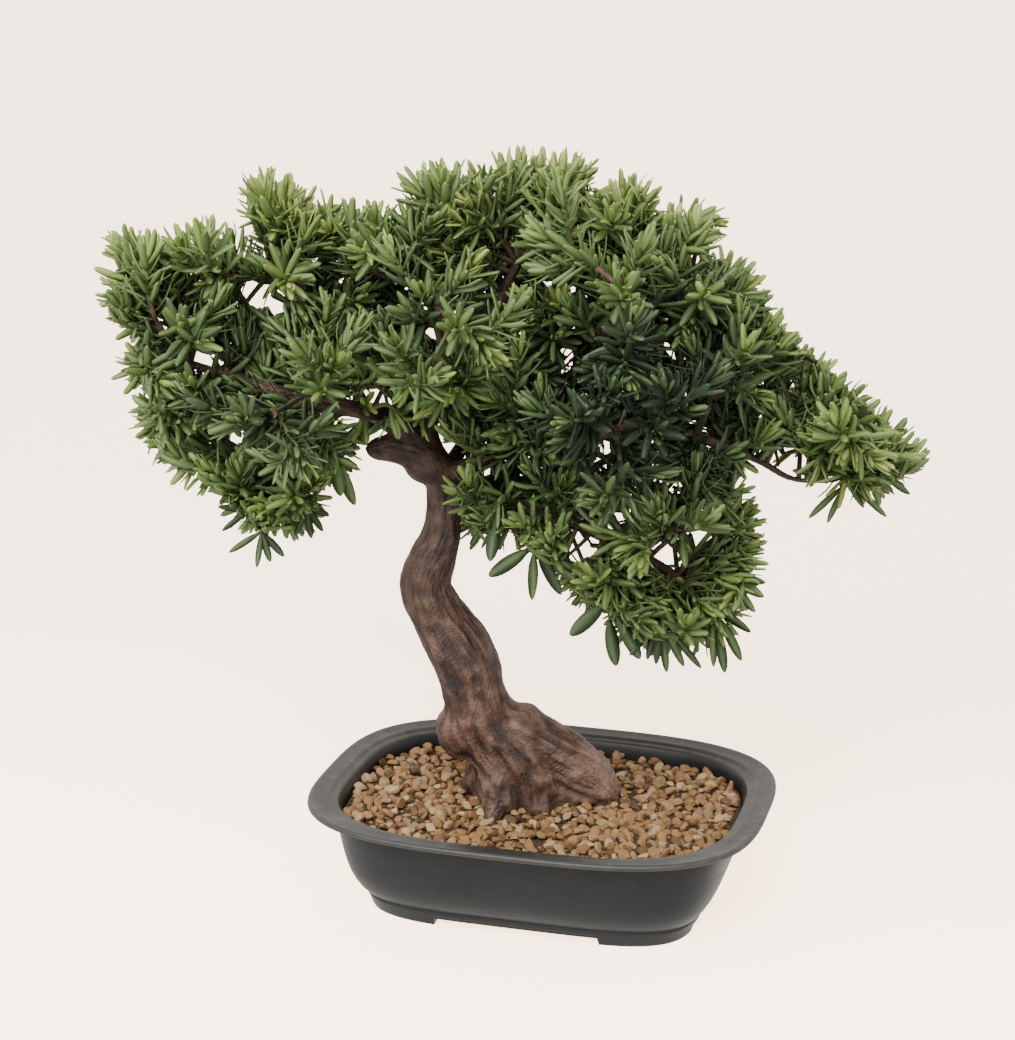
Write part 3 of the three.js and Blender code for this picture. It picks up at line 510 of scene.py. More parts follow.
def depth_in_crown(points):
    """How far inside the crown's outline points lie, as seen from the front: below zero outside it."""
    places = seen_from_front(points)[..., None, :]
    starts = np.array(CROWN, float)
    steps = np.roll(starts, -1, axis=0) - starts
    share = np.clip(np.sum((places - starts) * steps, -1) / np.sum(steps**2, -1), 0, 1)
    away = np.linalg.norm(places - starts - share[..., None] * steps, axis=-1).min(-1)
    rise = (places[..., 1] - starts[:, 1]) / np.where(steps[:, 1] == 0, 1, steps[:, 1])
    crossed = (rise >= 0) & (rise < 1) & (steps[:, 1] != 0)
    crossed &= places[..., 0] < starts[:, 0] + rise * steps[:, 0]
    return np.where(crossed.sum(-1) % 2 == 1, away, -away)


def unit(vectors):
    return vectors / np.maximum(np.linalg.norm(vectors, axis=-1, keepdims=True), 1e-12)


def smooth_path(stations, spacing):
    """A centripetal curve through stations of x, y, z and radius: its points and their radii."""
    stations = np.asarray(stations, float)
    places = in_pot(stations[:, :3])
    rows = np.column_stack([places, stations[:, 3]])
    rows = np.vstack([2 * rows[0] - rows[1], rows, 2 * rows[-1] - rows[-2]])
    made = []
    for before, start, end, after in zip(rows, rows[1:], rows[2:], rows[3:]):
        ahead, here, past = (
            np.linalg.norm((b - a)[:3]) ** 0.5 for a, b in ((before, start), (start, end), (end, after))
        )
        step = (end - start) / here
        leave = ((start - before) / ahead - (end - before) / (ahead + here) + step) * here
        arrive = (step - (after - start) / (here + past) + (after - end) / past) * here
        count = max(2, int(np.linalg.norm((end - start)[:3]) / spacing))
        for t in np.arange(count) / count:
            blend = (2 * t**3 - 3 * t**2 + 1, t**3 - 2 * t**2 + t, 3 * t**2 - 2 * t**3, t**3 - t**2)
            made.append(blend[0] * start + blend[1] * leave + blend[2] * end + blend[3] * arrive)
    made = np.array(made + [rows[-2]])
    return made[:, :3], made[:, 3]


def arc_lengths(points):
    return np.concatenate([[0], np.cumsum(np.linalg.norm(np.diff(points, axis=0), axis=1))])


def frames_along(points):
    """The direction of a path at each of its points, and two directions across it that don't spin."""
    along = unit(np.gradient(points, axis=0))
    across = np.cross(along[0], (0, 0, 1) if abs(along[0][2]) < 0.9 else (1, 0, 0))
    sides = []
    for direction in along:
        across = unit(across - direction * np.dot(across, direction))
        sides.append(across)
    sides = np.array(sides)
    return along, sides, np.cross(along, sides)


# Building meshes


class Shape:
    """Points and faces gathered part by part. Each part has one finish, and marks on its points."""

    def __init__(self, *marks):
        self.points = []
        self.faces = []
        self.finishes = []
        self.marks = {name: [] for name in marks}
        self.count = 0

    def add(self, points, faces, finish=0, **marks):
        self.points.append(np.asarray(points, float))
        for same_size in faces:
            self.faces.append(np.asarray(same_size, int) + self.count)
            self.finishes.append(finish)
        for name, values in self.marks.items():
            values.append(np.broadcast_to(np.asarray(marks.get(name, 0), float), (len(points),)))
        self.count += len(points)

    def make(self, name, materials):
        mesh = bpy.data.meshes.new(name)
        points = np.concatenate(self.points) * MM + POT_MIDDLE
        mesh.vertices.add(len(points))
        mesh.vertices.foreach_set("co", points.astype(np.float32).ravel())
        corners = np.concatenate([faces.ravel() for faces in self.faces])
        sizes = np.concatenate([np.full(len(faces), faces.shape[1]) for faces in self.faces])
        finishes = np.concatenate([np.full(len(f), k) for f, k in zip(self.faces, self.finishes)])
        mesh.loops.add(len(corners))
        mesh.loops.foreach_set("vertex_index", corners.astype(np.int32))
        mesh.polygons.add(len(sizes))
        mesh.polygons.foreach_set("loop_start", (np.cumsum(sizes) - sizes).astype(np.int32))
        for material in materials:
            mesh.materials.append(material)
        mesh.update(calc_edges=True)
        mesh.polygons.foreach_set("material_index", finishes.astype(np.int32))
        mesh.shade_smooth()
        for mark, values in self.marks.items():
            put_mark(mesh, mark, np.concatenate(values))
        piece = bpy.data.objects.new(name, mesh)
        bpy.context.scene.collection.objects.link(piece)
        return piece


def put_mark(mesh, name, values):
    """Keep a number for each point of a mesh, for its material to read."""
    mesh.attributes.new(name, "FLOAT", "POINT").data.foreach_set("value", values.astype(np.float32))


def read_points(mesh):
    values = np.empty(len(mesh.vertices) * 3, np.float32)
    mesh.vertices.foreach_get("co", values)
    return values.reshape(-1, 3).astype(float)


def stack_faces(rings, sides):
    """The four-sided faces between closed rings of points that follow each other."""
    k = np.arange(sides)
    ring = np.stack([k, (k + 1) % sides, (k + 1) % sides + sides, k + sides], 1)
    return (ring[None] + (np.arange(rings - 1) * sides)[:, None, None]).reshape(-1, 4)


def closed_faces(rings, sides):
    """The faces of a closed body: its rings of points, and then a point at the middle of each end."""
    k = np.arange(sides)
    last = (rings - 1) * sides
    start = np.stack([np.full(sides, rings * sides), (k + 1) % sides, k], 1)
    end = np.stack([k + last, (k + 1) % sides + last, np.full(sides, rings * sides + 1)], 1)
    return [stack_faces(rings, sides), start, end]


def tube(points, radii, sides):
    """A closed round tube along a path, with domed ends."""
    along, side, up = frames_along(points)
    turns = np.arange(sides) * 2 * math.pi / sides
    circle = np.cos(turns)[None, :, None] * side[:, None] + np.sin(turns)[None, :, None] * up[:, None]
    rings = points[:, None] + circle * radii[:, None, None]
    first = points[0] - along[0] * radii[0] * DOME**2 + circle[0] * radii[0] * DOME
    last = points[-1] + along[-1] * radii[-1] * DOME**2 + circle[-1] * radii[-1] * DOME
    rings = np.concatenate([first[None], rings, last[None]])
    tips = [points[0] - along[0] * radii[0], points[-1] + along[-1] * radii[-1]]
    return np.concatenate([rings.reshape(-1, 3), tips]), closed_faces(len(rings), sides)


def applied(piece):
    """The piece with its modifiers made part of its mesh."""
    depsgraph = bpy.context.evaluated_depsgraph_get()
    mesh = bpy.data.meshes.new_from_object(piece.evaluated_get(depsgraph), depsgraph=depsgraph)
    piece.modifiers.clear()
    piece.data = mesh
    return piece


def add_piece(piece, slot, *nodes):
    """Fix a piece to the tree's one body, in place of the nodes it stands for."""
    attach(piece, "root")
    if nodes:
        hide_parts(*nodes)


# Building materials


class Look:
    """A material and short ways to add its nodes."""

    SOCKETS = {
        "colour": "Base Color", "roughness": "Roughness", "normal": "Normal", "gloss": "Specular IOR Level",
    }

    def __init__(self, name):
        self.material = bpy.data.materials.new(name)
        self.material.use_nodes = True
        self.nodes = self.material.node_tree.nodes
        self.shader = self.nodes["Principled BSDF"]
        self.place = self.nodes.new("ShaderNodeTexCoord").outputs["Object"]

    def link(self, value, socket):
        if isinstance(value, bpy.types.NodeSocket):
            self.material.node_tree.links.new(value, socket)
        else:
            socket.default_value = value

    def node(self, kind, values, **settings):
        """A new node with its settings, and with a number or another node's output on its sockets."""
        node = self.nodes.new("ShaderNode" + kind)
        for name, setting in settings.items():
            setattr(node, name, setting)
        for socket, value in values.items():
            self.link(value, node.inputs[socket])
        return node

    def mark(self, name):
        return self.node("Attribute", {}, attribute_name=name).outputs["Fac"]

    def stretched(self, scale):
        return self.node("Mapping", {"Vector": self.place, "Scale": scale}).outputs["Vector"]

    def noise(self, scale, detail=3, rough=0.55, place=None, distortion=0):
        values = {
            "Vector": place or self.place, "Scale": scale, "Detail": detail, "Roughness": rough,
            "Distortion": distortion,
        }
        return self.node("TexNoise", values).outputs["Fac"]

    def cells(self, scale):
        return self.node("TexVoronoi", {"Vector": self.place, "Scale": scale}).outputs["Distance"]

    def ramp(self, value, stops):
        node = self.node("ValToRGB", {"Fac": value})
        elements = node.color_ramp.elements
        while len(elements) < len(stops):
            elements.new(1)
        for element, (position, colour) in zip(elements, stops):
            element.position = position
            element.color = (*colour, 1)
        return node.outputs["Color"]

    def span(self, value, low, high, to_low=0.0, to_high=1.0):
        limits = {"From Min": low, "From Max": high, "To Min": to_low, "To Max": to_high}
        return self.node("MapRange", {"Value": value, **limits}).outputs["Result"]

    def maths(self, operation, first, second=0.0):
        return self.node("Math", {0: first, 1: second}, operation=operation).outputs["Value"]

    def mix(self, share, first, second):
        """A blend of two colours. They go to sockets 6 and 7 of the node, and the result comes from 2."""
        first, second = (
            colour if isinstance(colour, bpy.types.NodeSocket) else (*colour, 1) for colour in (first, second)
        )
        return self.node("Mix", {"Factor": share, 6: first, 7: second}, data_type="RGBA").outputs[2]

    def lay(self, base, layers):
        """Colours laid over each other. Each grows up to its share as a value goes from low to high."""
        for value, low, high, share, colour in layers:
            base = self.mix(self.span(value, low, high, 0, share), base, colour)
        return base

    def bump(self, height, distance, strength, under=None):
        values = {"Strength": strength, "Distance": distance, "Height": height}
        if under:
            values["Normal"] = under
        return self.node("Bump", values).outputs["Normal"]

    def finish(self, **values):
        for key, value in values.items():
            self.link(value, self.shader.inputs[self.SOCKETS[key]])
        return self.material


def leaf_look():
    """Satin green blades: dark and deep green when old, yellow-green at the tips of the shoots, and made
    darker by painted shade and lighter by painted light, both carried in their age mark.
    """
    look = Look("leaf")
    tint = look.mark("tint")
    mottle = look.noise(260, 3)
    # The age mark holds each leaf's age with painted shade and painted light added in
    tone = look.mark("age")
    for value, low, high, change in (
        (tint, 0, 1, 0.14), (look.noise(28, 2), 0.3, 0.7, 0.14), (mottle, 0.3, 0.7, 0.05),
    ):
        tone = look.maths("ADD", tone, look.span(value, low, high, -change, change))
    green = look.ramp(look.span(tone, -0.5, 1), [
        (0.0, (0.016, 0.029, 0.012)), (0.2, (0.035, 0.062, 0.022)), (0.36, (0.073, 0.116, 0.038)),
        (0.53, (0.112, 0.172, 0.048)), (0.73, (0.2, 0.28, 0.063)), (0.9, (0.305, 0.375, 0.095)),
        (1.0, (0.4, 0.45, 0.14)),
    ])
    colour = look.lay(green, [(tint, 0.75, 1, 0.3, (0.035, 0.08, 0.045))])
    rib = look.span(look.maths("ABSOLUTE", look.mark("across")), 0.0, 0.16, 0.4, 0.0)
    below = look.span(look.mark("upper"), 0, -0.4, 0, 0.5)
    for share, paler in ((rib, (0.24, 0.32, 0.11)), (below, (0.1, 0.16, 0.06))):
        colour = look.mix(look.maths("MULTIPLY", share, look.span(tone, -0.4, 0.2)), colour, paler)
    normal = look.bump(look.noise(900, 2), 0.00012, 0.5)
    roughness = look.span(mottle, 0.3, 0.7, 0.42, 0.56)
    return look.finish(colour=colour, roughness=roughness, normal=normal, gloss=0.35)


def twig_look():
    """Thin brown bark that turns green towards the leaves."""
    look = Look("twig")
    grain = look.noise(700, 4, 0.6, place=look.stretched((1, 1, 0.35)))
    brown = look.ramp(grain, [(0.3, (0.03, 0.018, 0.012)), (0.7, (0.12, 0.075, 0.05))])
    green = look.ramp(grain, [(0.3, (0.05, 0.075, 0.02)), (0.7, (0.12, 0.16, 0.05))])
    colour = look.lay(brown, [(look.mark("age"), 0.35, 0.8, 1, green)])
    return look.finish(colour=colour, roughness=0.7, normal=look.bump(grain, 0.0003, 0.7), gloss=0.3)


def bark_look():
    """Mottled red-brown bark with purple and dark patches, paler on its ridges and darker in its grooves and
    hollows.
    """
    look = Look("bark")
    spots = look.noise(170, 4, 0.65, distortion=0.4)
    grain = look.noise(620, 5, 0.65)
    strands, ridge, tone = (look.mark(name) for name in ("strands", "ridge", "tone"))
    base = look.ramp(look.noise(45, 4, 0.6, distortion=0.6), [
        (0.3, (0.02, 0.01, 0.008)), (0.43, (0.048, 0.02, 0.0115)), (0.52, (0.062, 0.03, 0.015)),
        (0.62, (0.033, 0.0145, 0.011)), (0.75, (0.086, 0.045, 0.026)),
    ])
    base = look.lay(base, [
        (look.noise(24, 2), 0.5, 0.64, 0.5, (0.095, 0.037, 0.029)),
        (spots, 0.53, 0.61, 0.75, (0.017, 0.009, 0.0085)),
        (spots, 0.43, 0.33, 0.5, (0.122, 0.07, 0.046)),
        (strands, 0.45, 0.15, 0.3, (0.014, 0.007, 0.006)),
        (ridge, 0.5, 0.95, 0.65, (0.195, 0.116, 0.085)),
        (ridge, 0.42, 0.05, 0.85, (0.012, 0.006, 0.005)),
        (tone, 0, 1, 0.6, (0.25, 0.16, 0.115)),
        (tone, 0, -1, 0.4, (0.024, 0.013, 0.01)),
        (grain, 0.38, 0.7, 0.35, (0.016, 0.009, 0.008)),
    ])
    normal = look.bump(strands, 0.0008, 0.8, under=look.bump(spots, 0.0012, 0.7))
    normal = look.bump(grain, 0.0006, 0.8, under=normal)
    roughness = look.span(spots, 0.3, 0.7, 0.5, 0.72)
    return look.finish(colour=base, roughness=roughness, normal=normal, gloss=0.4)


def pebble_look():
    """Tan, ochre, pinkish and pale stones with fine specks."""
    look = Look("pebbles")
    speck = look.noise(900, 4, 0.7)
    cloud = look.noise(240, 3)
    stone = look.ramp(look.mark("tint"), [
        (0.0, (0.035, 0.018, 0.007)), (0.12, (0.12, 0.06, 0.021)), (0.28, (0.222, 0.116, 0.042)),
        (0.42, (0.168, 0.091, 0.029)), (0.58, (0.252, 0.14, 0.062)), (0.72, (0.172, 0.091, 0.043)),
        (0.86, (0.345, 0.24, 0.124)), (1.0, (0.138, 0.099, 0.039)),
    ])
    stone = look.lay(stone, [
        (cloud, 0.45, 0.7, 0.4, (0.11, 0.054, 0.021)),
        (speck, 0.56, 0.7, 0.6, (0.05, 0.028, 0.014)),
        (speck, 0.42, 0.3, 0.45, (0.385, 0.26, 0.148)),
    ])
    roughness = look.span(cloud, 0.3, 0.7, 0.6, 0.85)
    return look.finish(colour=stone, roughness=roughness, normal=look.bump(speck, 0.0004, 0.6), gloss=0.35)


def grit_look(name):
    """Dark damp earth and grit; under the pebbles it is also painted shade in the gaps between them."""
    look = Look(name)
    grain = look.noise(900, 5, 0.7)
    colour = look.ramp(grain, [
        (0.3, (0.02, 0.012, 0.008)), (0.6, (0.07, 0.042, 0.025)), (0.8, (0.16, 0.1, 0.06)),
    ])
    normal = look.bump(grain, 0.0008, 0.8, under=look.bump(look.cells(420), 0.0015, 0.8))
    return look.finish(colour=colour, roughness=0.95, normal=normal, gloss=0.2)


def pot_look():
    """Charcoal moulded plastic with a satin skin, a little dust on its flat parts, wear on its rim that is
    kept back on the middle of the long sides as painted shade, and edges laid lighter as wear and painted
    highlight.
    """
    look = Look("pot_plastic")
    cloud = look.noise(22, 4, 0.6)
    flow = look.noise(60, 3, 0.6, place=look.stretched((0.25, 0.25, 2.2)))
    rim = look.mark("rim")
    scuffs = look.span(look.noise(75, 5, 0.65, distortion=0.5), 0.35, 0.65, 0.25, 1)
    specks = look.span(look.noise(140, 5, 0.7), 0.52, 0.75)
    # The rim mark is wear on the rim, with less of it on the middle of the long sides as painted shade
    worn = look.maths("MULTIPLY", rim, scuffs)
    dust = look.maths("MULTIPLY", specks, look.span(rim, 0, 1, 0.03, 0.25))
    base = look.ramp(cloud, [(0.3, (0.0078, 0.0083, 0.009)), (0.7, (0.0118, 0.0123, 0.013))])
    base = look.lay(base, [
        (worn, 0, 1, 0.7, (0.057, 0.049, 0.038)),
        (dust, 0, 1, 1, (0.2, 0.175, 0.14)),
        # Edges laid pale grey: wear and painted highlight
        (look.mark("edge"), 0, 1, 0.16, (0.12, 0.12, 0.115)),
    ])
    normal = look.bump(look.noise(1300, 3, 0.6), 0.00012, 0.35, under=look.bump(cloud, 0.0012, 0.25))
    roughness = look.span(flow, 0.3, 0.7, 0.33, 0.46)
    return look.finish(colour=base, roughness=roughness, normal=normal, gloss=0.28)


def floor_look():
    """A plain pale floor that glows, less so towards the back."""
    look = Look("floor")
    depth = look.node("SeparateXYZ", {"Vector": look.place}).outputs["Y"]
    look.link((1, 0.74, 0.47, 1), look.shader.inputs["Emission Color"])
    look.link(look.span(depth, -0.03, 0.32, 4.8, 2.9), look.shader.inputs["Emission Strength"])
    return look.finish(colour=(0.8, 0.76, 0.71, 1), roughness=0.9, gloss=0.1)


# The pot


def outline(length, width, corner, z):
    """One level ring of the pot: an oval with squared corners."""
    turns = 2 * math.pi * (np.arange(OUTLINE_POINTS) + 0.5) / OUTLINE_POINTS
    cos, sin = np.cos(turns), np.sin(turns)
    x = length / 2 * np.sign(cos) * np.abs(cos) ** (2 / corner)
    y = width / 2 * np.sign(sin) * np.abs(sin) ** (2 / corner)
    return np.stack([x, y, np.full(OUTLINE_POINTS, z)], 1)


def wall_size(rise, inset):
    """Length, width, corner and height of the wall at a share of its way up to the lip."""
    flare = np.interp(rise, FLARE_RISES, FLARE_SHARES)
    bottom = BAND_HEIGHT + LEDGE / 2
    length = (BASE_LENGTH + LEDGE) * (1 - flare) + WALL_TOP_LENGTH * flare - 2 * inset
    width = (BASE_WIDTH + LEDGE) * (1 - flare) + WALL_TOP_WIDTH * flare - 2 * inset
    return length, width, BASE_CORNER * (1 - rise) + RIM_CORNER * rise, bottom + (WALL_TOP - bottom) * rise


def lip_ring(inset, z, rim, edge):
    return RIM_LENGTH - 2 * inset, RIM_WIDTH - 2 * inset, RIM_CORNER, z, rim, edge


def pot_rings():
    """Every ring of the pot from under its base, up outside, over the lip and down inside. Each has
    its length, width, corner and height, the wear of the rim's flat, and how much lighter its edges are laid,
    as wear and painted highlight."""
    rings = [(BASE_LENGTH - less, BASE_WIDTH - less, BASE_CORNER, z, 0, edge) for less, z, edge in BASE_RINGS]
    rings += [(*wall_size(rise, 0), 0, 0) for rise in np.linspace(*WALL_RISES, WALL_RINGS)]
    rings += [(*wall_size(rise, -outset)[:3], WALL_TOP - UNDER_LIP_GAP, 0, 0) for rise, outset in UNDER_LIP]
    half = LIP_THICKNESS / 2
    for turn in np.radians(np.linspace(-90, 90, LIP_EDGE_RINGS)):
        z = RIM_TOP - half + half * math.sin(turn)
        rings.append(lip_ring(half * (1 - math.cos(turn)), z, *LIP_EDGE_WEAR_AND_HIGHLIGHT))
    rings += [lip_ring(inset, RIM_TOP - drop, rim, edge) for inset, drop, rim, edge in LIP_DISH]
    for rise in np.linspace(*INNER_RISES, WALL_RINGS):
        length, width, corner, z = wall_size(rise, WALL)
        rings.append((length, width, corner, max(z, INSIDE_FLOOR + FLOOR_ROUND), 0, 0))
    rings.append((BASE_LENGTH - FLOOR_INSET, BASE_WIDTH - FLOOR_INSET, BASE_CORNER, INSIDE_FLOOR, 0, 0))
    return rings


def make_pot(material):
    rings = pot_rings()
    points = np.concatenate([outline(*ring[:4]) for ring in rings])
    rim, edge = (np.repeat([ring[i] for ring in rings], OUTLINE_POINTS) for i in (4, 5))
    # Painted shade: less rim wear is laid at the middle of the long sides, which keeps them darker than the
    # ends
    rim = rim * np.interp(np.abs(points[:, 0]), LONG_RIM_SHADE_FADE, (LONG_RIM_SHADE, 1))
    points = np.vstack([points, [(0, 0, 0), (0, 0, INSIDE_FLOOR)]])
    shape = Shape("rim", "edge")
    faces = closed_faces(len(rings), OUTLINE_POINTS)
    shape.add(points, faces, rim=np.append(rim, [0, 0]), edge=np.append(edge, [0, 0]))
    pot = shape.make("bonsai_pot", [material])
    for size in ((FOOT_GAP_LENGTH, 2 * RIM_WIDTH), (2 * RIM_LENGTH, FOOT_GAP_WIDTH)):
        cut_below(pot, *size)
    add_piece(pot, "pot", "pot")


def cut_below(pot, length, width):
    """Cut a shallow channel with slanted sides under the pot, which leaves its feet."""
    corners = [(-1, -1), (1, -1), (1, 1), (-1, 1)]
    low, high = (
        [(x * (length / 2 + wider), y * (width / 2 + wider), z) for x, y in corners]
        for wider, z in ((CHANNEL_SLANT, -FOOT_HEIGHT), (0, FOOT_HEIGHT))
    )
    shape = Shape()
    shape.add(low + high, [stack_faces(2, 4), np.array([[3, 2, 1, 0], [4, 5, 6, 7]])])
    cutter = shape.make("channel", [])
    cut = pot.modifiers.new("channel", "BOOLEAN")
    cut.operation = "DIFFERENCE"
    cut.solver = "EXACT"
    cut.object = cutter
    applied(pot)
    bpy.data.objects.remove(cutter)


# The gravel


def inner_size(z, inset):
    """Length, width and corner of the pot's inside at a height, less an inset."""
    return wall_size((z - BAND_HEIGHT) / (WALL_TOP - BAND_HEIGHT), WALL + inset)[:3]


def inside_pot(x, y, z, inset):
    """How far out a point lies in the pot's inner outline, where 1 is on the wall."""
    length, width, corner = inner_size(z, inset)
    return (np.abs(2 * x / length) ** corner + np.abs(2 * y / width) ** corner) ** (1 / corner)


def ball(subdivisions):
    """The corners and faces of a ball of alike triangles."""
    made = bmesh.new()
    bmesh.ops.create_icosphere(made, subdivisions=subdivisions, radius=1)
    points = np.array([v.co for v in made.verts])
    faces = np.array([[v.index for v in f.verts] for f in made.faces])
    made.free()
    return points, faces


def chip(points, rng, size):
    """One broken stone: a ball that is cut flat on many sides and stretched."""
    shaped = points.copy()
    for direction in unit(rng.normal(size=(CHIP_CUTS, 3))):
        over = np.maximum(shaped @ direction - rng.uniform(*CHIP_DEPTH), 0)
        shaped -= over[:, None] * direction
    shaped *= size / 2 * np.array([rng.uniform(*limits) for limits in CHIP_STRETCH])
    turn, lean = rng.uniform(0, 2 * math.pi), rng.uniform(-CHIP_LEAN, CHIP_LEAN)
    cos, sin = math.cos(lean), math.sin(lean)
    shaped = shaped @ np.array([[cos, 0, -sin], [0, 1, 0], [sin, 0, cos]])
    cos, sin = math.cos(turn), math.sin(turn)
    return shaped @ np.array([[cos, sin, 0], [-sin, cos, 0], [0, 0, 1]])


def make_gravel(material, grit, wood):
    """Layers of broken stones, coarse ones below and finer-cut ones on top, on a bed of dark grit that is
    also painted shade in the gaps between them.
    """
    rng = np.random.RandomState(GRAVEL_SEED)
    shape = Shape("tint")
    rise = PEBBLE_PITCH * math.sqrt(3) / 2
    rows, columns = int(RIM_WIDTH / rise) + 2, int(RIM_LENGTH / PEBBLE_PITCH) + 2
    for layer, (fineness, height, spread, gaps) in enumerate(PEBBLE_LAYERS):
        base, faces = ball(fineness)
        for i, j in np.ndindex(columns, rows):
            x = (i - columns / 2 + (j % 2) / 2 + layer / 2) * PEBBLE_PITCH
            y = (j - rows / 2 + layer / 2) * rise
            x, y = (value + rng.uniform(-PEBBLE_SHIFT, PEBBLE_SHIFT) for value in (x, y))
            z = height + rng.uniform(-spread, spread)
            size = rng.uniform(*PEBBLE_SIZE)
            stone = chip(base, rng, size)
            tint = rng.uniform()
            buried = wood.find((x, y, z + 1))[1] < PEBBLE_DEPTH_IN_WOOD
            if inside_pot(x, y, z, size * PEBBLE_REACH) <= 1 and not buried and rng.uniform() > gaps:
                shape.add(stone + (x, y, z), [faces], tint=tint)
    rings = [outline(*inner_size(z, inset), z) for z, inset in BED_RINGS]
    points = np.vstack(rings + [[(0, 0, SOIL_TOP), (0, 0, BED_TOP)]])
    shape.add(points, closed_faces(len(rings), OUTLINE_POINTS), finish=1)
    gravel = shape.make("pebbles", [material, grit])
    gravel.data.shade_flat()
    add_piece(gravel, "gravel", "gravel")


# The trunk


def wood_paths():
    paths = [TRUNK, STUB, *ROOTS, *(path for path, _ in LIMBS.values())]
    return [smooth_path(path, WOOD_SPACING) for path in paths]


def tree_of(points):
    tree = kdtree.KDTree(len(points))
    for i, point in enumerate(points):
        tree.insert(point, i)
    tree.balance()
    return tree


class Wood:
    """The paths of the wood, which find the stretch that a point is next to."""

    def __init__(self, paths):
        self.paths = paths
        self.radii = np.concatenate([radii for _, radii in paths])
        self.tree = tree_of(np.concatenate([points for points, _ in paths]))

    def find(self, point):
        """The radius of the wood next to a point, and how far outside its surface the point lies."""
        found = self.tree.find_n(point, NEAREST_WOOD)
        _, i, distance = min(found, key=lambda hit: hit[2] - self.radii[hit[1]])
        return self.radii[i], distance - self.radii[i]

    def radii_at(self, points):
        return np.array([self.find(point)[0] for point in points])


def strand_relief(points, paths):
    """The height of the bark at each point, from strands that run along the wood, their ridges,
    and finer strands between them."""
    sums = np.zeros((3, len(points)))
    total = np.full(len(points), 1e-9)
    for number, (path, radii) in enumerate(paths):
        tree = tree_of(path)
        lengths = arc_lengths(path)
        _, side, up = frames_along(path)
        reach = radii.max() + BARK_REACH
        near = np.flatnonzero(np.all((points > path.min(0) - reach) & (points < path.max(0) + reach), axis=1))
        for index in near:
            _, i, distance = tree.find(points[index])
            past = distance - radii[i]
            if past > BARK_DEPTH:
                continue
            weight = math.exp(-max(past, 0) * 0.8) * radii[i] ** 2
            away = points[index] - path[i]
            turn = math.atan2(np.dot(away, up[i]), np.dot(away, side[i]))
            size = min(radii[i] / FULL_BARK, 1.2)
            around = 2.1 * size
            place = Vector((around * math.cos(turn), around * math.sin(turn), 0))
            heights = []
            for wider, pitch, shift in ((1, 26, 7), (2.3, 14, 5), (2.4, 9, 3)):
                place = Vector((place.x * wider, place.y * wider, lengths[i] / pitch + shift * number))
                heights.append(noise.noise(place))
            broad, fine, strand = heights
            height = 0.62 * (1 - abs(broad) * 3.4) + 0.38 * (1 - abs(fine) * 3.2)
            sums[:, index] += weight * np.array((height * size, height, strand))
            total[index] += weight
    return sums / total


def smooth_wood(mesh, wood):
    """Melt the joints between the thick parts of the wood, and leave its thin ends as they are."""
    points = (read_points(mesh) - POT_MIDDLE) / MM
    edges = np.empty(len(mesh.edges) * 2, np.int32)
    mesh.edges.foreach_get("vertices", edges)
    a, b = edges.reshape(-1, 2).T
    count = np.bincount(edges, minlength=len(points))[:, None]
    thickness = (wood.radii_at(points) - THIN_WOOD) / (THICK_WOOD - THIN_WOOD)
    share = np.clip(thickness, LEAST_MELT, 1)[:, None] * MELT_SHARE
    for _ in range(MELT_PASSES):
        total = np.zeros_like(points)
        for start, end in ((a, b), (b, a)):
            for k in range(3):
                total[:, k] += np.bincount(start, points[end, k], len(points))
        points += share * (total / count - points)
    return points


def make_trunk(material, wood):
    shape = Shape()
    for points, radii in wood.paths:
        shape.add(*tube(points, radii, WOOD_SIDES))
    for at, half in BURLS:
        points, faces = ball(BURL_FINENESS)
        shape.add(in_pot(points * half + at), [faces])
    trunk = shape.make("bonsai_trunk", [material])
    melt = trunk.modifiers.new("melt", "REMESH")
    melt.mode = "VOXEL"
    melt.voxel_size = VOXEL * MM
    melt.use_smooth_shade = True
    applied(trunk)
    points = smooth_wood(trunk.data, wood)
    set_points(trunk.data, points)
    normals = np.empty(len(points) * 3, np.float32)
    trunk.data.vertices.foreach_get("normal", normals)
    relief, ridge, strands = strand_relief(points, wood.paths)
    lumps, flakes, grit = (
        np.array([noise.noise(Vector(point) / pitch) for point in points]) for pitch in BARK_PITCHES
    )
    size = np.clip(wood.radii_at(points) / FULL_BARK, 0.1, 1)
    height = LUMP_HEIGHT * lumps + GRIT_HEIGHT * grit + FLAKE_HEIGHT * flakes - BARK_INSET
    height = STRAND_HEIGHT * relief + size * height
    height *= np.interp(points[:, 2], RELIEF_LEVELS, RELIEF_SHARES)
    for at, radius, depth in PITS:
        hollow = np.exp(-(np.linalg.norm(points - in_pot(at), axis=1) / radius) ** 2)
        height -= depth * hollow
        ridge -= hollow * 0.9
    set_points(trunk.data, points + normals.reshape(-1, 3) * height[:, None])
    put_mark(trunk.data, "strands", np.clip(0.5 + strands, 0, 1))
    put_mark(trunk.data, "ridge", np.clip(0.4 + 0.45 * ridge + 0.4 * flakes, 0, 1))
    root_end = np.interp(points[:, 0], ROOT_FADE, (0, 1)) * (points[:, 2] < ROOT_TOP)
    put_mark(trunk.data, "tone", root_end - np.interp(points[:, 2], TRUNK_FADE, (0, 1)))
    add_piece(trunk, "bark", "trunk")


def set_points(mesh, points):
    mesh.vertices.foreach_set("co", (points * MM + POT_MIDDLE).astype(np.float32).ravel())
    mesh.update()


# The foliage


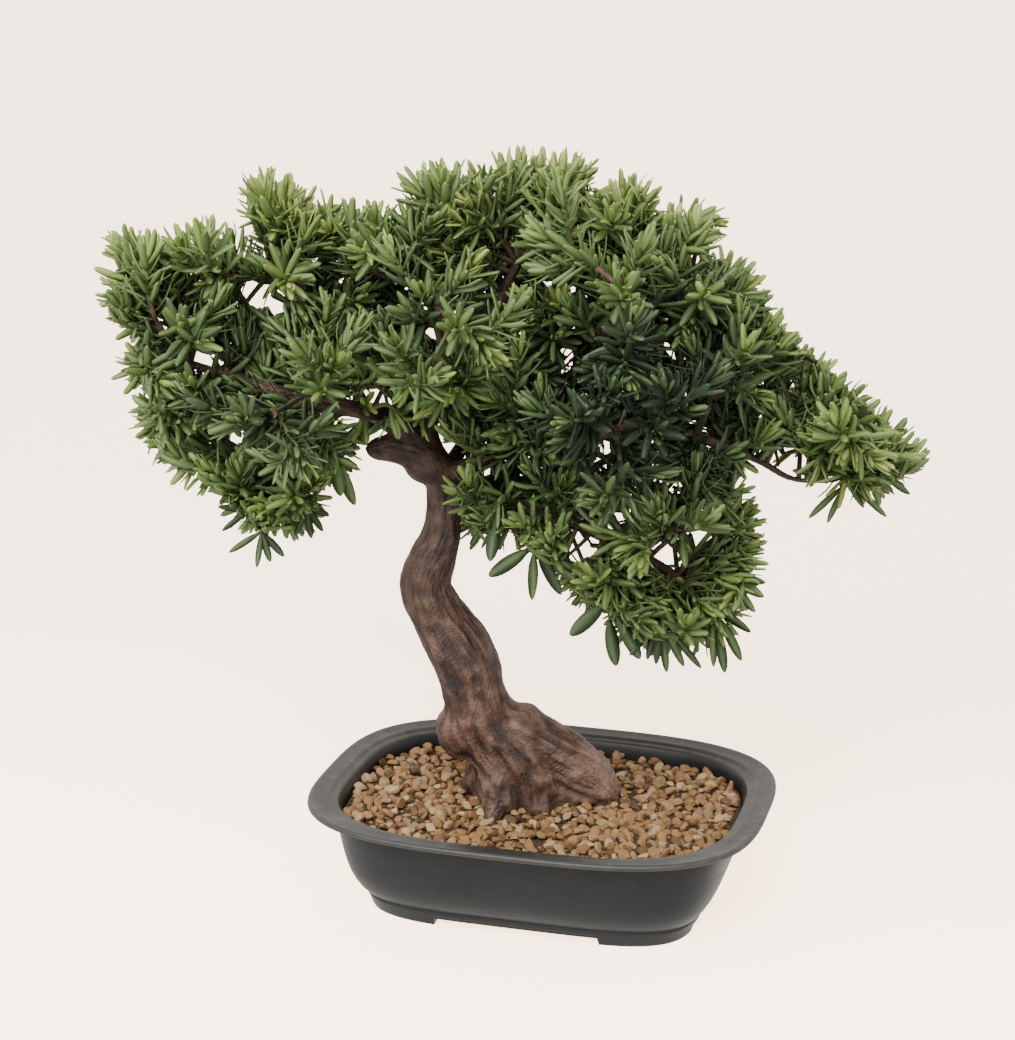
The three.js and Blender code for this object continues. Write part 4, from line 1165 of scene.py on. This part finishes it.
def leaf_points(plan, stations, half_widths):
    """Every point of many leaves. Each leaf stands out from its shoot by its spread and then bends."""
    cos, sin = np.cos(plan["spread"])[:, None], np.sin(plan["spread"])[:, None]
    ahead = unit(plan["along"] * cos + plan["outward"] * sin + plan["lift"][:, None] * [0, 0, 1])
    face = plan["along"] * sin - plan["outward"] * cos
    face = unit(face - ahead * np.sum(face * ahead, axis=1, keepdims=True))
    side = np.cross(ahead, face)
    length, width, bend, fold, twist = (
        plan[key][:, None, None] for key in ("length", "width", "bend", "fold", "twist")
    )
    ahead, face, side, roots = (vectors[:, None] for vectors in (ahead, face, side, plan["root"]))
    u = np.append(stations, 1)[None, :, None]
    spine = roots + length / bend * (ahead * np.sin(bend * u) + face * (1 - np.cos(bend * u)))
    spine, tips = spine[:, :-1], spine[:, -1:]
    u = u[:, :-1]
    normal = face * np.cos(bend * u) - ahead * np.sin(bend * u)
    across = side * np.cos(twist * u) + normal * np.sin(twist * u)
    normal = normal * np.cos(twist * u) - side * np.sin(twist * u)
    half = width / 2 * half_widths[None, :, None]
    thin = LEAF_THICKNESS * (0.55 + 0.45 * half_widths)[None, :, None]
    lift = half * np.abs(LEAF_ACROSS) * np.tan(fold) + thin * LEAF_RISE
    rings = spine[:, :, None] + across[:, :, None] * (half * LEAF_ACROSS)[..., None]
    rings = rings + normal[:, :, None] * lift[..., None]
    return np.concatenate([rings.reshape(len(tips), -1, 3), roots, tips], 1)


def bezier(start, middle, end, count):
    t = np.linspace(0, 1, count)[:, None]
    return (1 - t) ** 2 * start + 2 * t * (1 - t) * middle + t**2 * end


def twig_path(root, tip, heading=None):
    """A twig that ends just past the middle of its spray, and arches up or turns to its heading."""
    reach = np.linalg.norm(tip - root)
    if heading is None:
        end = tip + unit(tip - root) * TWIG_PAST
        middle = (root + end) / 2 + (0, 0, TWIG_ARCH * reach)
    else:
        end = tip + heading * TWIG_PAST
        middle = tip - heading * reach / 2
    return bezier(root, middle, end, max(8, int(reach / 2.5)))


def in_gap(points):
    """Whether points lie in one of the small gaps, as seen from the front."""
    places = seen_from_front(points)
    return np.any([np.linalg.norm(places - gap[:2], axis=-1) < gap[2] for gap in GAPS], axis=0)


def painted_shade(points):
    """How much painted shade darkens the foliage at points of the pot's frame, as if it were older; below
    zero, painted light makes it lighter.
    """
    places = seen_from_front(points)
    shade_share = 0
    for x, z, wide, high, share in PAINTED_SHADE_ZONES:
        shade_share += share * np.exp(-((places[..., 0] - x) / wide) ** 2 - ((places[..., 1] - z) / high) ** 2)
    return shade_share * np.interp(points[..., 1], PAINTED_SHADE_FADE, (1, PAINTED_SHADE_BEHIND))


def down_shoot(back, at_tip, below, reach):
    """A value that changes from a shoot's tip towards another further down."""
    return at_tip + (below - at_tip) * (1 - math.exp(-back / reach))


def nearest_on(path, target, first):
    away = np.linalg.norm(path - target, axis=1)
    start = int(len(path) * first)
    return path[start + np.argmin(away[start:])]


class Bough:
    """One bough in the making: its twigs, and the plans of its leaves."""

    def __init__(self, seed):
        self.rng = np.random.RandomState(seed)
        self.shape = Shape("age", "tint", "across", "upper")
        self.leaves = []
        self.large_leaves = []

    def add_stem(self, path, radii, age):
        points, faces = tube(path, radii, STEM_SIDES)
        ages = np.repeat(np.concatenate([age[:1], age, age[-1:]]), STEM_SIDES)
        ages = np.append(ages, [age[0], age[-1]])
        self.shape.add(points, faces, finish=1, age=ages)

    def add_leaves(self, path, stretch, tip_tone, size=1, margin=INSIDE_MARGIN, start=0):
        """Leaves in a spiral over the last stretch of a shoot: nearly upright at its tip, then wider."""
        rng = self.rng
        along, side, up = frames_along(path)
        lengths = arc_lengths(path)
        turn = rng.uniform(0, 2 * math.pi)
        back = start
        while back < min(stretch, lengths[-1]):
            back += LEAF_STEP * (1 + back / 45) * rng.uniform(0.5, 1.5)
            place = max(lengths[-1] - back, 0)
            root = np.array([np.interp(place, lengths, path[:, k]) for k in range(3)])
            k = min(np.searchsorted(lengths, place), len(path) - 1)
            turn += GOLDEN_ANGLE + rng.uniform(-0.25, 0.25)
            outward = math.cos(turn) * side[k] + math.sin(turn) * up[k]
            grown = size * down_shoot(back, *LEAF_SIZE) * rng.uniform(*LEAF_SIZES)
            bend = rng.uniform(*LEAF_BENDS)
            self.leaves.append({
                "root": root + outward * 0.3, "along": along[k], "outward": outward,
                "length": LEAF_LENGTH * grown,
                "width": LEAF_WIDTH * (0.45 + 0.55 * grown) * rng.uniform(*LEAF_WIDTHS),
                "spread": math.radians(down_shoot(back, *LEAF_SPREAD) + rng.uniform(-11, 11)),
                "bend": bend if abs(bend) > LEAST_BEND else LEAST_BEND, "fold": rng.uniform(*LEAF_FOLDS),
                "twist": rng.uniform(*LEAF_TWISTS), "tint": rng.uniform(), "margin": margin,
                "lift": LEAF_LIFT,
                "age": 0.1 + 0.75 * math.exp(-back / 7) * tip_tone + rng.uniform(-0.08, 0.08),
            })

    def add_shoot(self, start, direction, length, tip_tone, size=1):
        """A shoot that curves up from a twig or a limb, with leaves on its outer three quarters."""
        risen = direction + (0, 0, SHOOT_RISE)
        while depth_in_crown(start + risen * length) < INSIDE_MARGIN:
            length *= 0.8
            if length < SHORTEST_SHOOT:
                return
        path = bezier(start, start + direction * length * 0.5, start + risen * length, SHOOT_POINTS)
        if np.any(in_gap(path)):
            return
        self.add_stem(path, np.linspace(*SHOOT_RADII, SHOOT_POINTS), np.linspace(0.4, 1, SHOOT_POINTS))
        self.add_leaves(path, length * 0.8, tip_tone, size)

    def add_side_shoot(self, path, place, turn, lean, length, tip_tone):
        """A shoot at a place along a path, turned round it and leaning out from it."""
        along, side, up = frames_along(path)
        k = min(np.searchsorted(arc_lengths(path), place), len(path) - 1)
        outward = math.cos(turn) * side[k] + math.sin(turn) * up[k]
        self.add_shoot(path[k], along[k] * math.cos(lean) + outward * math.sin(lean), length, tip_tone)

    def add_twig(self, root, tip, heading=None):
        """A twig that ends inside the crown's outline, if it is ever inside."""
        path = twig_path(root, tip, heading)
        inside = np.flatnonzero(depth_in_crown(path) > 0)
        path = path[:1 + inside.max(initial=MIN_STEM_POINTS)]
        lengths = arc_lengths(path)
        radii = np.interp(lengths / lengths[-1], (0, 0.7, 1), TWIG_RADII)
        self.add_stem(path, radii, np.clip(1.3 - (lengths[-1] - lengths) / LEAFY_LENGTH, 0, 1))
        return path, lengths

    def new_tip_tone_and_light(self, tip):
        """How yellow-green a spray's youngest leaves are, with painted light that makes them most so at the
        top of the crown.
        """
        return self.rng.uniform(*VIGOURS) * np.interp(tip[2], PAINTED_LIGHT_LEVELS, PAINTED_LIGHT_SHARES)

    def add_spray(self, root, tip, slim=False):
        """A twig with leaves round its outer part, and leafy branchlets to its sides."""
        rng = self.rng
        path, lengths = self.add_twig(root, tip)
        tip_tone = self.new_tip_tone_and_light(tip)
        self.add_leaves(path, max(LEAFY_LENGTH, LEAFY_SHARE * lengths[-1]), tip_tone, SLIM_SIZE if slim else 1)
        turn = rng.uniform(0, 2 * math.pi)
        for number in range(0 if slim else BRANCHLETS):
            share = np.interp(number + rng.uniform(0, 1), (0, BRANCHLETS), BRANCHLET_STRETCH)
            turn += GOLDEN_ANGLE + rng.uniform(-0.3, 0.3)
            lean = math.radians(rng.uniform(*BRANCHLET_LEAN))
            length = rng.uniform(*BRANCHLET_LENGTH)
            less = rng.uniform(0.6, 0.95)
            self.add_side_shoot(path, lengths[-1] * share, turn, lean, length, tip_tone * less)
        return path

    def add_edge_spray(self, root, tip, heading):
        """A small spray at the crown's outline, whose leaves reach out freely."""
        path, lengths = self.add_twig(root, tip, heading)
        tip_tone = self.new_tip_tone_and_light(tip)
        self.add_leaves(path, EDGE_LEAFY_LENGTH, tip_tone, EDGE_SIZE, EDGE_MARGIN, EDGE_START)
        self.add_leaves(path, LEAFY_SHARE * lengths[-1], tip_tone, start=EDGE_LEAFY_LENGTH)

    def add_fan(self, root, end, width, tips):
        """A twig that bends down, with leaves of its own and bigger ones that fan out from its end."""
        rng = self.rng
        path, lengths = self.add_twig(root, in_pot(end) + (0, 0, TWIG_PAST), np.array([0, 0, -1]))
        self.add_leaves(path, LEAFY_SHARE * lengths[-1], 0.6)
        for x, z in tips:
            tip = in_pot((x, end[1] - 2, z))
            along = unit(tip - path[-1])
            reach = np.linalg.norm(tip - path[-1])
            length = min(reach, HANGING_LENGTH)
            start = tip - along * length
            if reach > length:
                stalk = bezier(path[-1], (path[-1] + start) / 2, start, 4)
                self.add_stem(stalk, np.full(4, STALK_RADIUS), np.ones(4))
            behind = in_pot((rng.uniform(-0.4, 0.4), 1, 0))
            self.large_leaves.append({
                "root": start, "along": along, "outward": unit(behind - along * np.dot(along, behind)),
                "length": length, "width": width * rng.uniform(*HANGING_WIDTHS), "spread": 0,
                "bend": rng.uniform(*HANGING_BENDS), "fold": rng.uniform(*HANGING_FOLDS),
                "twist": rng.uniform(*HANGING_TWISTS), "tint": rng.uniform(), "margin": HANGING_MARGIN,
                "lift": 0, "age": rng.uniform(*HANGING_AGES_AND_SHADE),
            })

    def add_limb_shoots(self, path, bare):
        """Short leafy shoots along the outer part of a limb, but for its bare stretch."""
        rng = self.rng
        length = arc_lengths(path)[-1]
        turn = rng.uniform(0, 2 * math.pi)
        place = length * rng.uniform(0.28, 0.34)
        while place < length:
            turn += GOLDEN_ANGLE + rng.uniform(-0.3, 0.3)
            if not bare[0] < place / length < bare[1]:
                lean = math.radians(rng.uniform(*SHOOT_LEAN))
                reach, tip_tone = rng.uniform(*SHOOT_LENGTH), rng.uniform(0.4, 0.9)
                self.add_side_shoot(path, place, turn, lean, reach, tip_tone)
            place += SHOOT_PITCH * rng.uniform(0.8, 1.2)

    def make(self, name, materials, low, high, wood):
        """Grow the planned leaves and build the piece."""
        self.grow(self.leaves, LEAF_PROFILE, low, high, wood)
        if self.large_leaves:
            self.grow(self.large_leaves, LARGE_LEAF_PROFILE, low, high, wood)
        return self.shape.make(name, materials)

    def grow(self, leaves, profile, low, high, wood):
        """Add leaves, but for those that reach into the wood, a gap or past the room that there is."""
        stations, half_widths = np.array(profile).T
        plan = {key: np.array([leaf[key] for leaf in leaves]) for key in leaves[0]}
        points = leaf_points(plan, stations, half_widths)
        keep = np.all((points > low) & (points < high), axis=(1, 2))
        roots, tips = points[:, -2], points[:, -1]
        middles = (tips + roots) / 2
        keep &= depth_in_crown(tips) > plan["margin"]
        for share in np.linspace(0, 1, GAP_SAMPLES):
            keep &= ~in_gap(roots + (tips - roots) * share)
        keep &= np.array([min(wood.find(a)[1], wood.find(b)[1]) > WOOD_ROOM for a, b in zip(tips, middles)])
        points = points[keep]
        each = points.shape[1]
        starts = (np.arange(len(points)) * each)[:, None, None]
        rings = len(stations)
        faces = closed_faces(rings, len(LEAF_ACROSS))
        faces = [(some[None] + starts).reshape(-1, some.shape[1]) for some in faces]
        # Painted shade and painted light: leaves in the listed zones are made darker or lighter through their
        # age mark
        plan["age"] -= painted_shade(roots)
        marks = {key: np.repeat(plan[key][keep], each) for key in ("age", "tint")}
        for key, row in (("across", LEAF_ACROSS), ("upper", LEAF_RISE)):
            marks[key] = np.tile(np.append(np.tile(row, rings), [0, 0]), len(points))
        self.shape.add(points.reshape(-1, 3), faces, **marks)


def best_limb(carriers, middle):
    """The limb that can carry a spray: one that is near, from which no twig crosses open air."""
    costs = {}
    for limb, path in carriers.items():
        root = nearest_on(path, middle, CARRIER_START)
        line = root + (middle - root) * np.linspace(0.3, 1, 8)[:, None]
        costs[limb] = np.linalg.norm(middle - root) + OUTSIDE_COST * np.sum(depth_in_crown(line) < 1)
    return min(costs, key=costs.get)


def inner_places(rng):
    """The middles of sprays on a lattice inside the crown."""
    low, high = np.min(CROWN, axis=0), np.max(CROWN, axis=0)
    for j, z in enumerate(np.arange(low[1], high[1], INNER_PITCH * 0.87)):
        for x in np.arange(low[0] + (j % 2) * INNER_PITCH / 2, high[0], INNER_PITCH):
            middle = at_depth((x + rng.uniform(-4, 4), z + rng.uniform(-4, 4)), rng.uniform(*INNER_DEPTH))
            if depth_in_crown(middle) > INNER_EDGE:
                yield middle, None


def edge_places(rng):
    """The middles of small sprays just inside the crown's outline, and the way they head, out of it."""
    corners = np.array(CROWN + CROWN[:1], float)
    lengths = arc_lengths(corners)
    for along in np.arange(0, lengths[-1], EDGE_PITCH):
        before, place, after = (
            np.array([np.interp(along + step, lengths, corners[:, k], period=lengths[-1]) for k in range(2)])
            for step in (-5, 0, 5)
        )
        inward = unit((after - before)[::-1] * (1, -1))
        middle = at_depth(place + inward * EDGE_INSET, rng.uniform(*EDGE_DEPTH))
        if depth_in_crown(middle) > EDGE_INSET / 2:
            yield middle, unit(in_pot((-inward[0], rng.uniform(-0.4, 0.4), -inward[1])))


def make_foliage(materials, wood):
    low, high = ((np.array(corner) - POT_MIDDLE) / MM for corner in CAD_BOX)
    room = (low - ROOM_PAST_BOX, high + ROOM_PAST_BOX)
    carriers = {limb: smooth_path(path, WOOD_SPACING)[0] for limb, (path, _) in LIMBS.items()}
    rng = np.random.RandomState(PLACES_SEED)
    inner, edge = {limb: [] for limb in LIMBS}, {limb: [] for limb in LIMBS}
    for lists, places in ((inner, inner_places(rng)), (edge, edge_places(rng))):
        for middle, heading in places:
            lists[best_limb(carriers, middle)].append((middle, heading))
    seed = BOUGH_SEED
    for limb, (_, boughs) in LIMBS.items():
        carrier = carriers[limb]
        for number, tips in enumerate(boughs, 1):
            seed += 1
            bough = Bough(seed)
            parent = carrier
            for tip in tips:
                middle = in_pot(tip)
                root = nearest_on(parent, middle, CARRIER_START)
                parent = bough.add_spray(root, middle, tip in SLIM_SPRAYS)
            piece = bough.make(f"sprays_{limb}_{number}", materials, *room, wood)
            add_piece(piece, "leaves", f"foliage_{limb}_{number}")
        seed += 1
        bough = Bough(seed)
        bough.add_limb_shoots(carrier, BARE_STRETCH.get(limb, (1, 1)))
        given = [in_pot(tip) for tip in FILLING.get(limb, [])]
        for middle in given + [middle for middle, _ in inner[limb]]:
            bough.add_spray(nearest_on(carrier, middle, CARRIER_START), middle)
        for middle, heading in edge[limb]:
            bough.add_edge_spray(nearest_on(carrier, middle, CARRIER_START), middle, heading)
        for end, width, tips in HANGING.get(limb, []):
            bough.add_fan(nearest_on(carrier, in_pot(end), CARRIER_START), end, width, tips)
        add_piece(bough.make(f"shoots_{limb}", materials, *room, wood), "leaves")


# The studio


def from_front(point):
    """A place given as seen from the tree's front, in millimetres, as a place in the frame."""
    return Vector(in_pot(point) * MM + POT_MIDDLE)


def put(name, data, at):
    """A camera or a lamp at a place, which looks at the tree."""
    made = bpy.data.objects.new(name, data)
    made.location = at
    made.rotation_euler = (from_front(AIM) - at).to_track_quat("-Z", "Y").to_euler()
    bpy.context.scene.collection.objects.link(made)
    return made


def make_camera():
    data = bpy.data.cameras.new("camera")
    data.lens = LENS
    data.sensor_width = SENSOR
    data.clip_start = 0.01
    data.clip_end = 100
    bpy.context.scene.camera = put("camera", data, from_front(EYE))


def add_light(kind, name, at, energy, colour, **settings):
    data = bpy.data.lights.new(name, kind)
    for key, value in {"energy": energy, "color": colour, **settings}.items():
        setattr(data, key, value)
    put(name, data, from_front(at))


def make_studio(material):
    world = bpy.data.worlds.new("studio")
    world.use_nodes = True
    sky = world.node_tree.nodes["Background"].inputs
    sky["Color"].default_value = SKY_COLOUR
    sky["Strength"].default_value = SKY_STRENGTH
    bpy.context.scene.world = world
    add_light("SUN", "overhead", (-160, -950, 1250), 3.35, (1, 0.98, 0.95), angle=math.radians(30))
    add_light("AREA", "softbox", (-700, -600, 900), 14, (1, 0.99, 0.97), size=0.9)
    k = np.arange(FLOOR_SIDES)
    turns = 2 * math.pi * k / FLOOR_SIDES
    circle = np.stack([np.cos(turns), np.sin(turns), np.zeros(FLOOR_SIDES)], 1)
    points = np.vstack([*(circle * radius for radius in FLOOR_RADII), (0, 0, 0)])
    middle = np.stack([np.full(FLOOR_SIDES, len(points) - 1), k, (k + 1) % FLOOR_SIDES], 1)
    shape = Shape()
    outer = stack_faces(len(FLOOR_RADII), FLOOR_SIDES)[:, ::-1]
    shape.add(points - (0, 0, FOOT_DROP + FLOOR_GAP), [outer, middle])
    floor = shape.make("floor", [material])
    floor.visible_diffuse = False
    floor.visible_glossy = False


make_camera()
make_studio(floor_look())
make_pot(pot_look())
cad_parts["soil"].data.materials.clear()
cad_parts["soil"].data.materials.append(grit_look("soil"))
WOOD = Wood(wood_paths())
make_trunk(bark_look(), WOOD)
make_gravel(pebble_look(), grit_look("grit"), WOOD)
make_foliage([leaf_look(), twig_look()], WOOD)
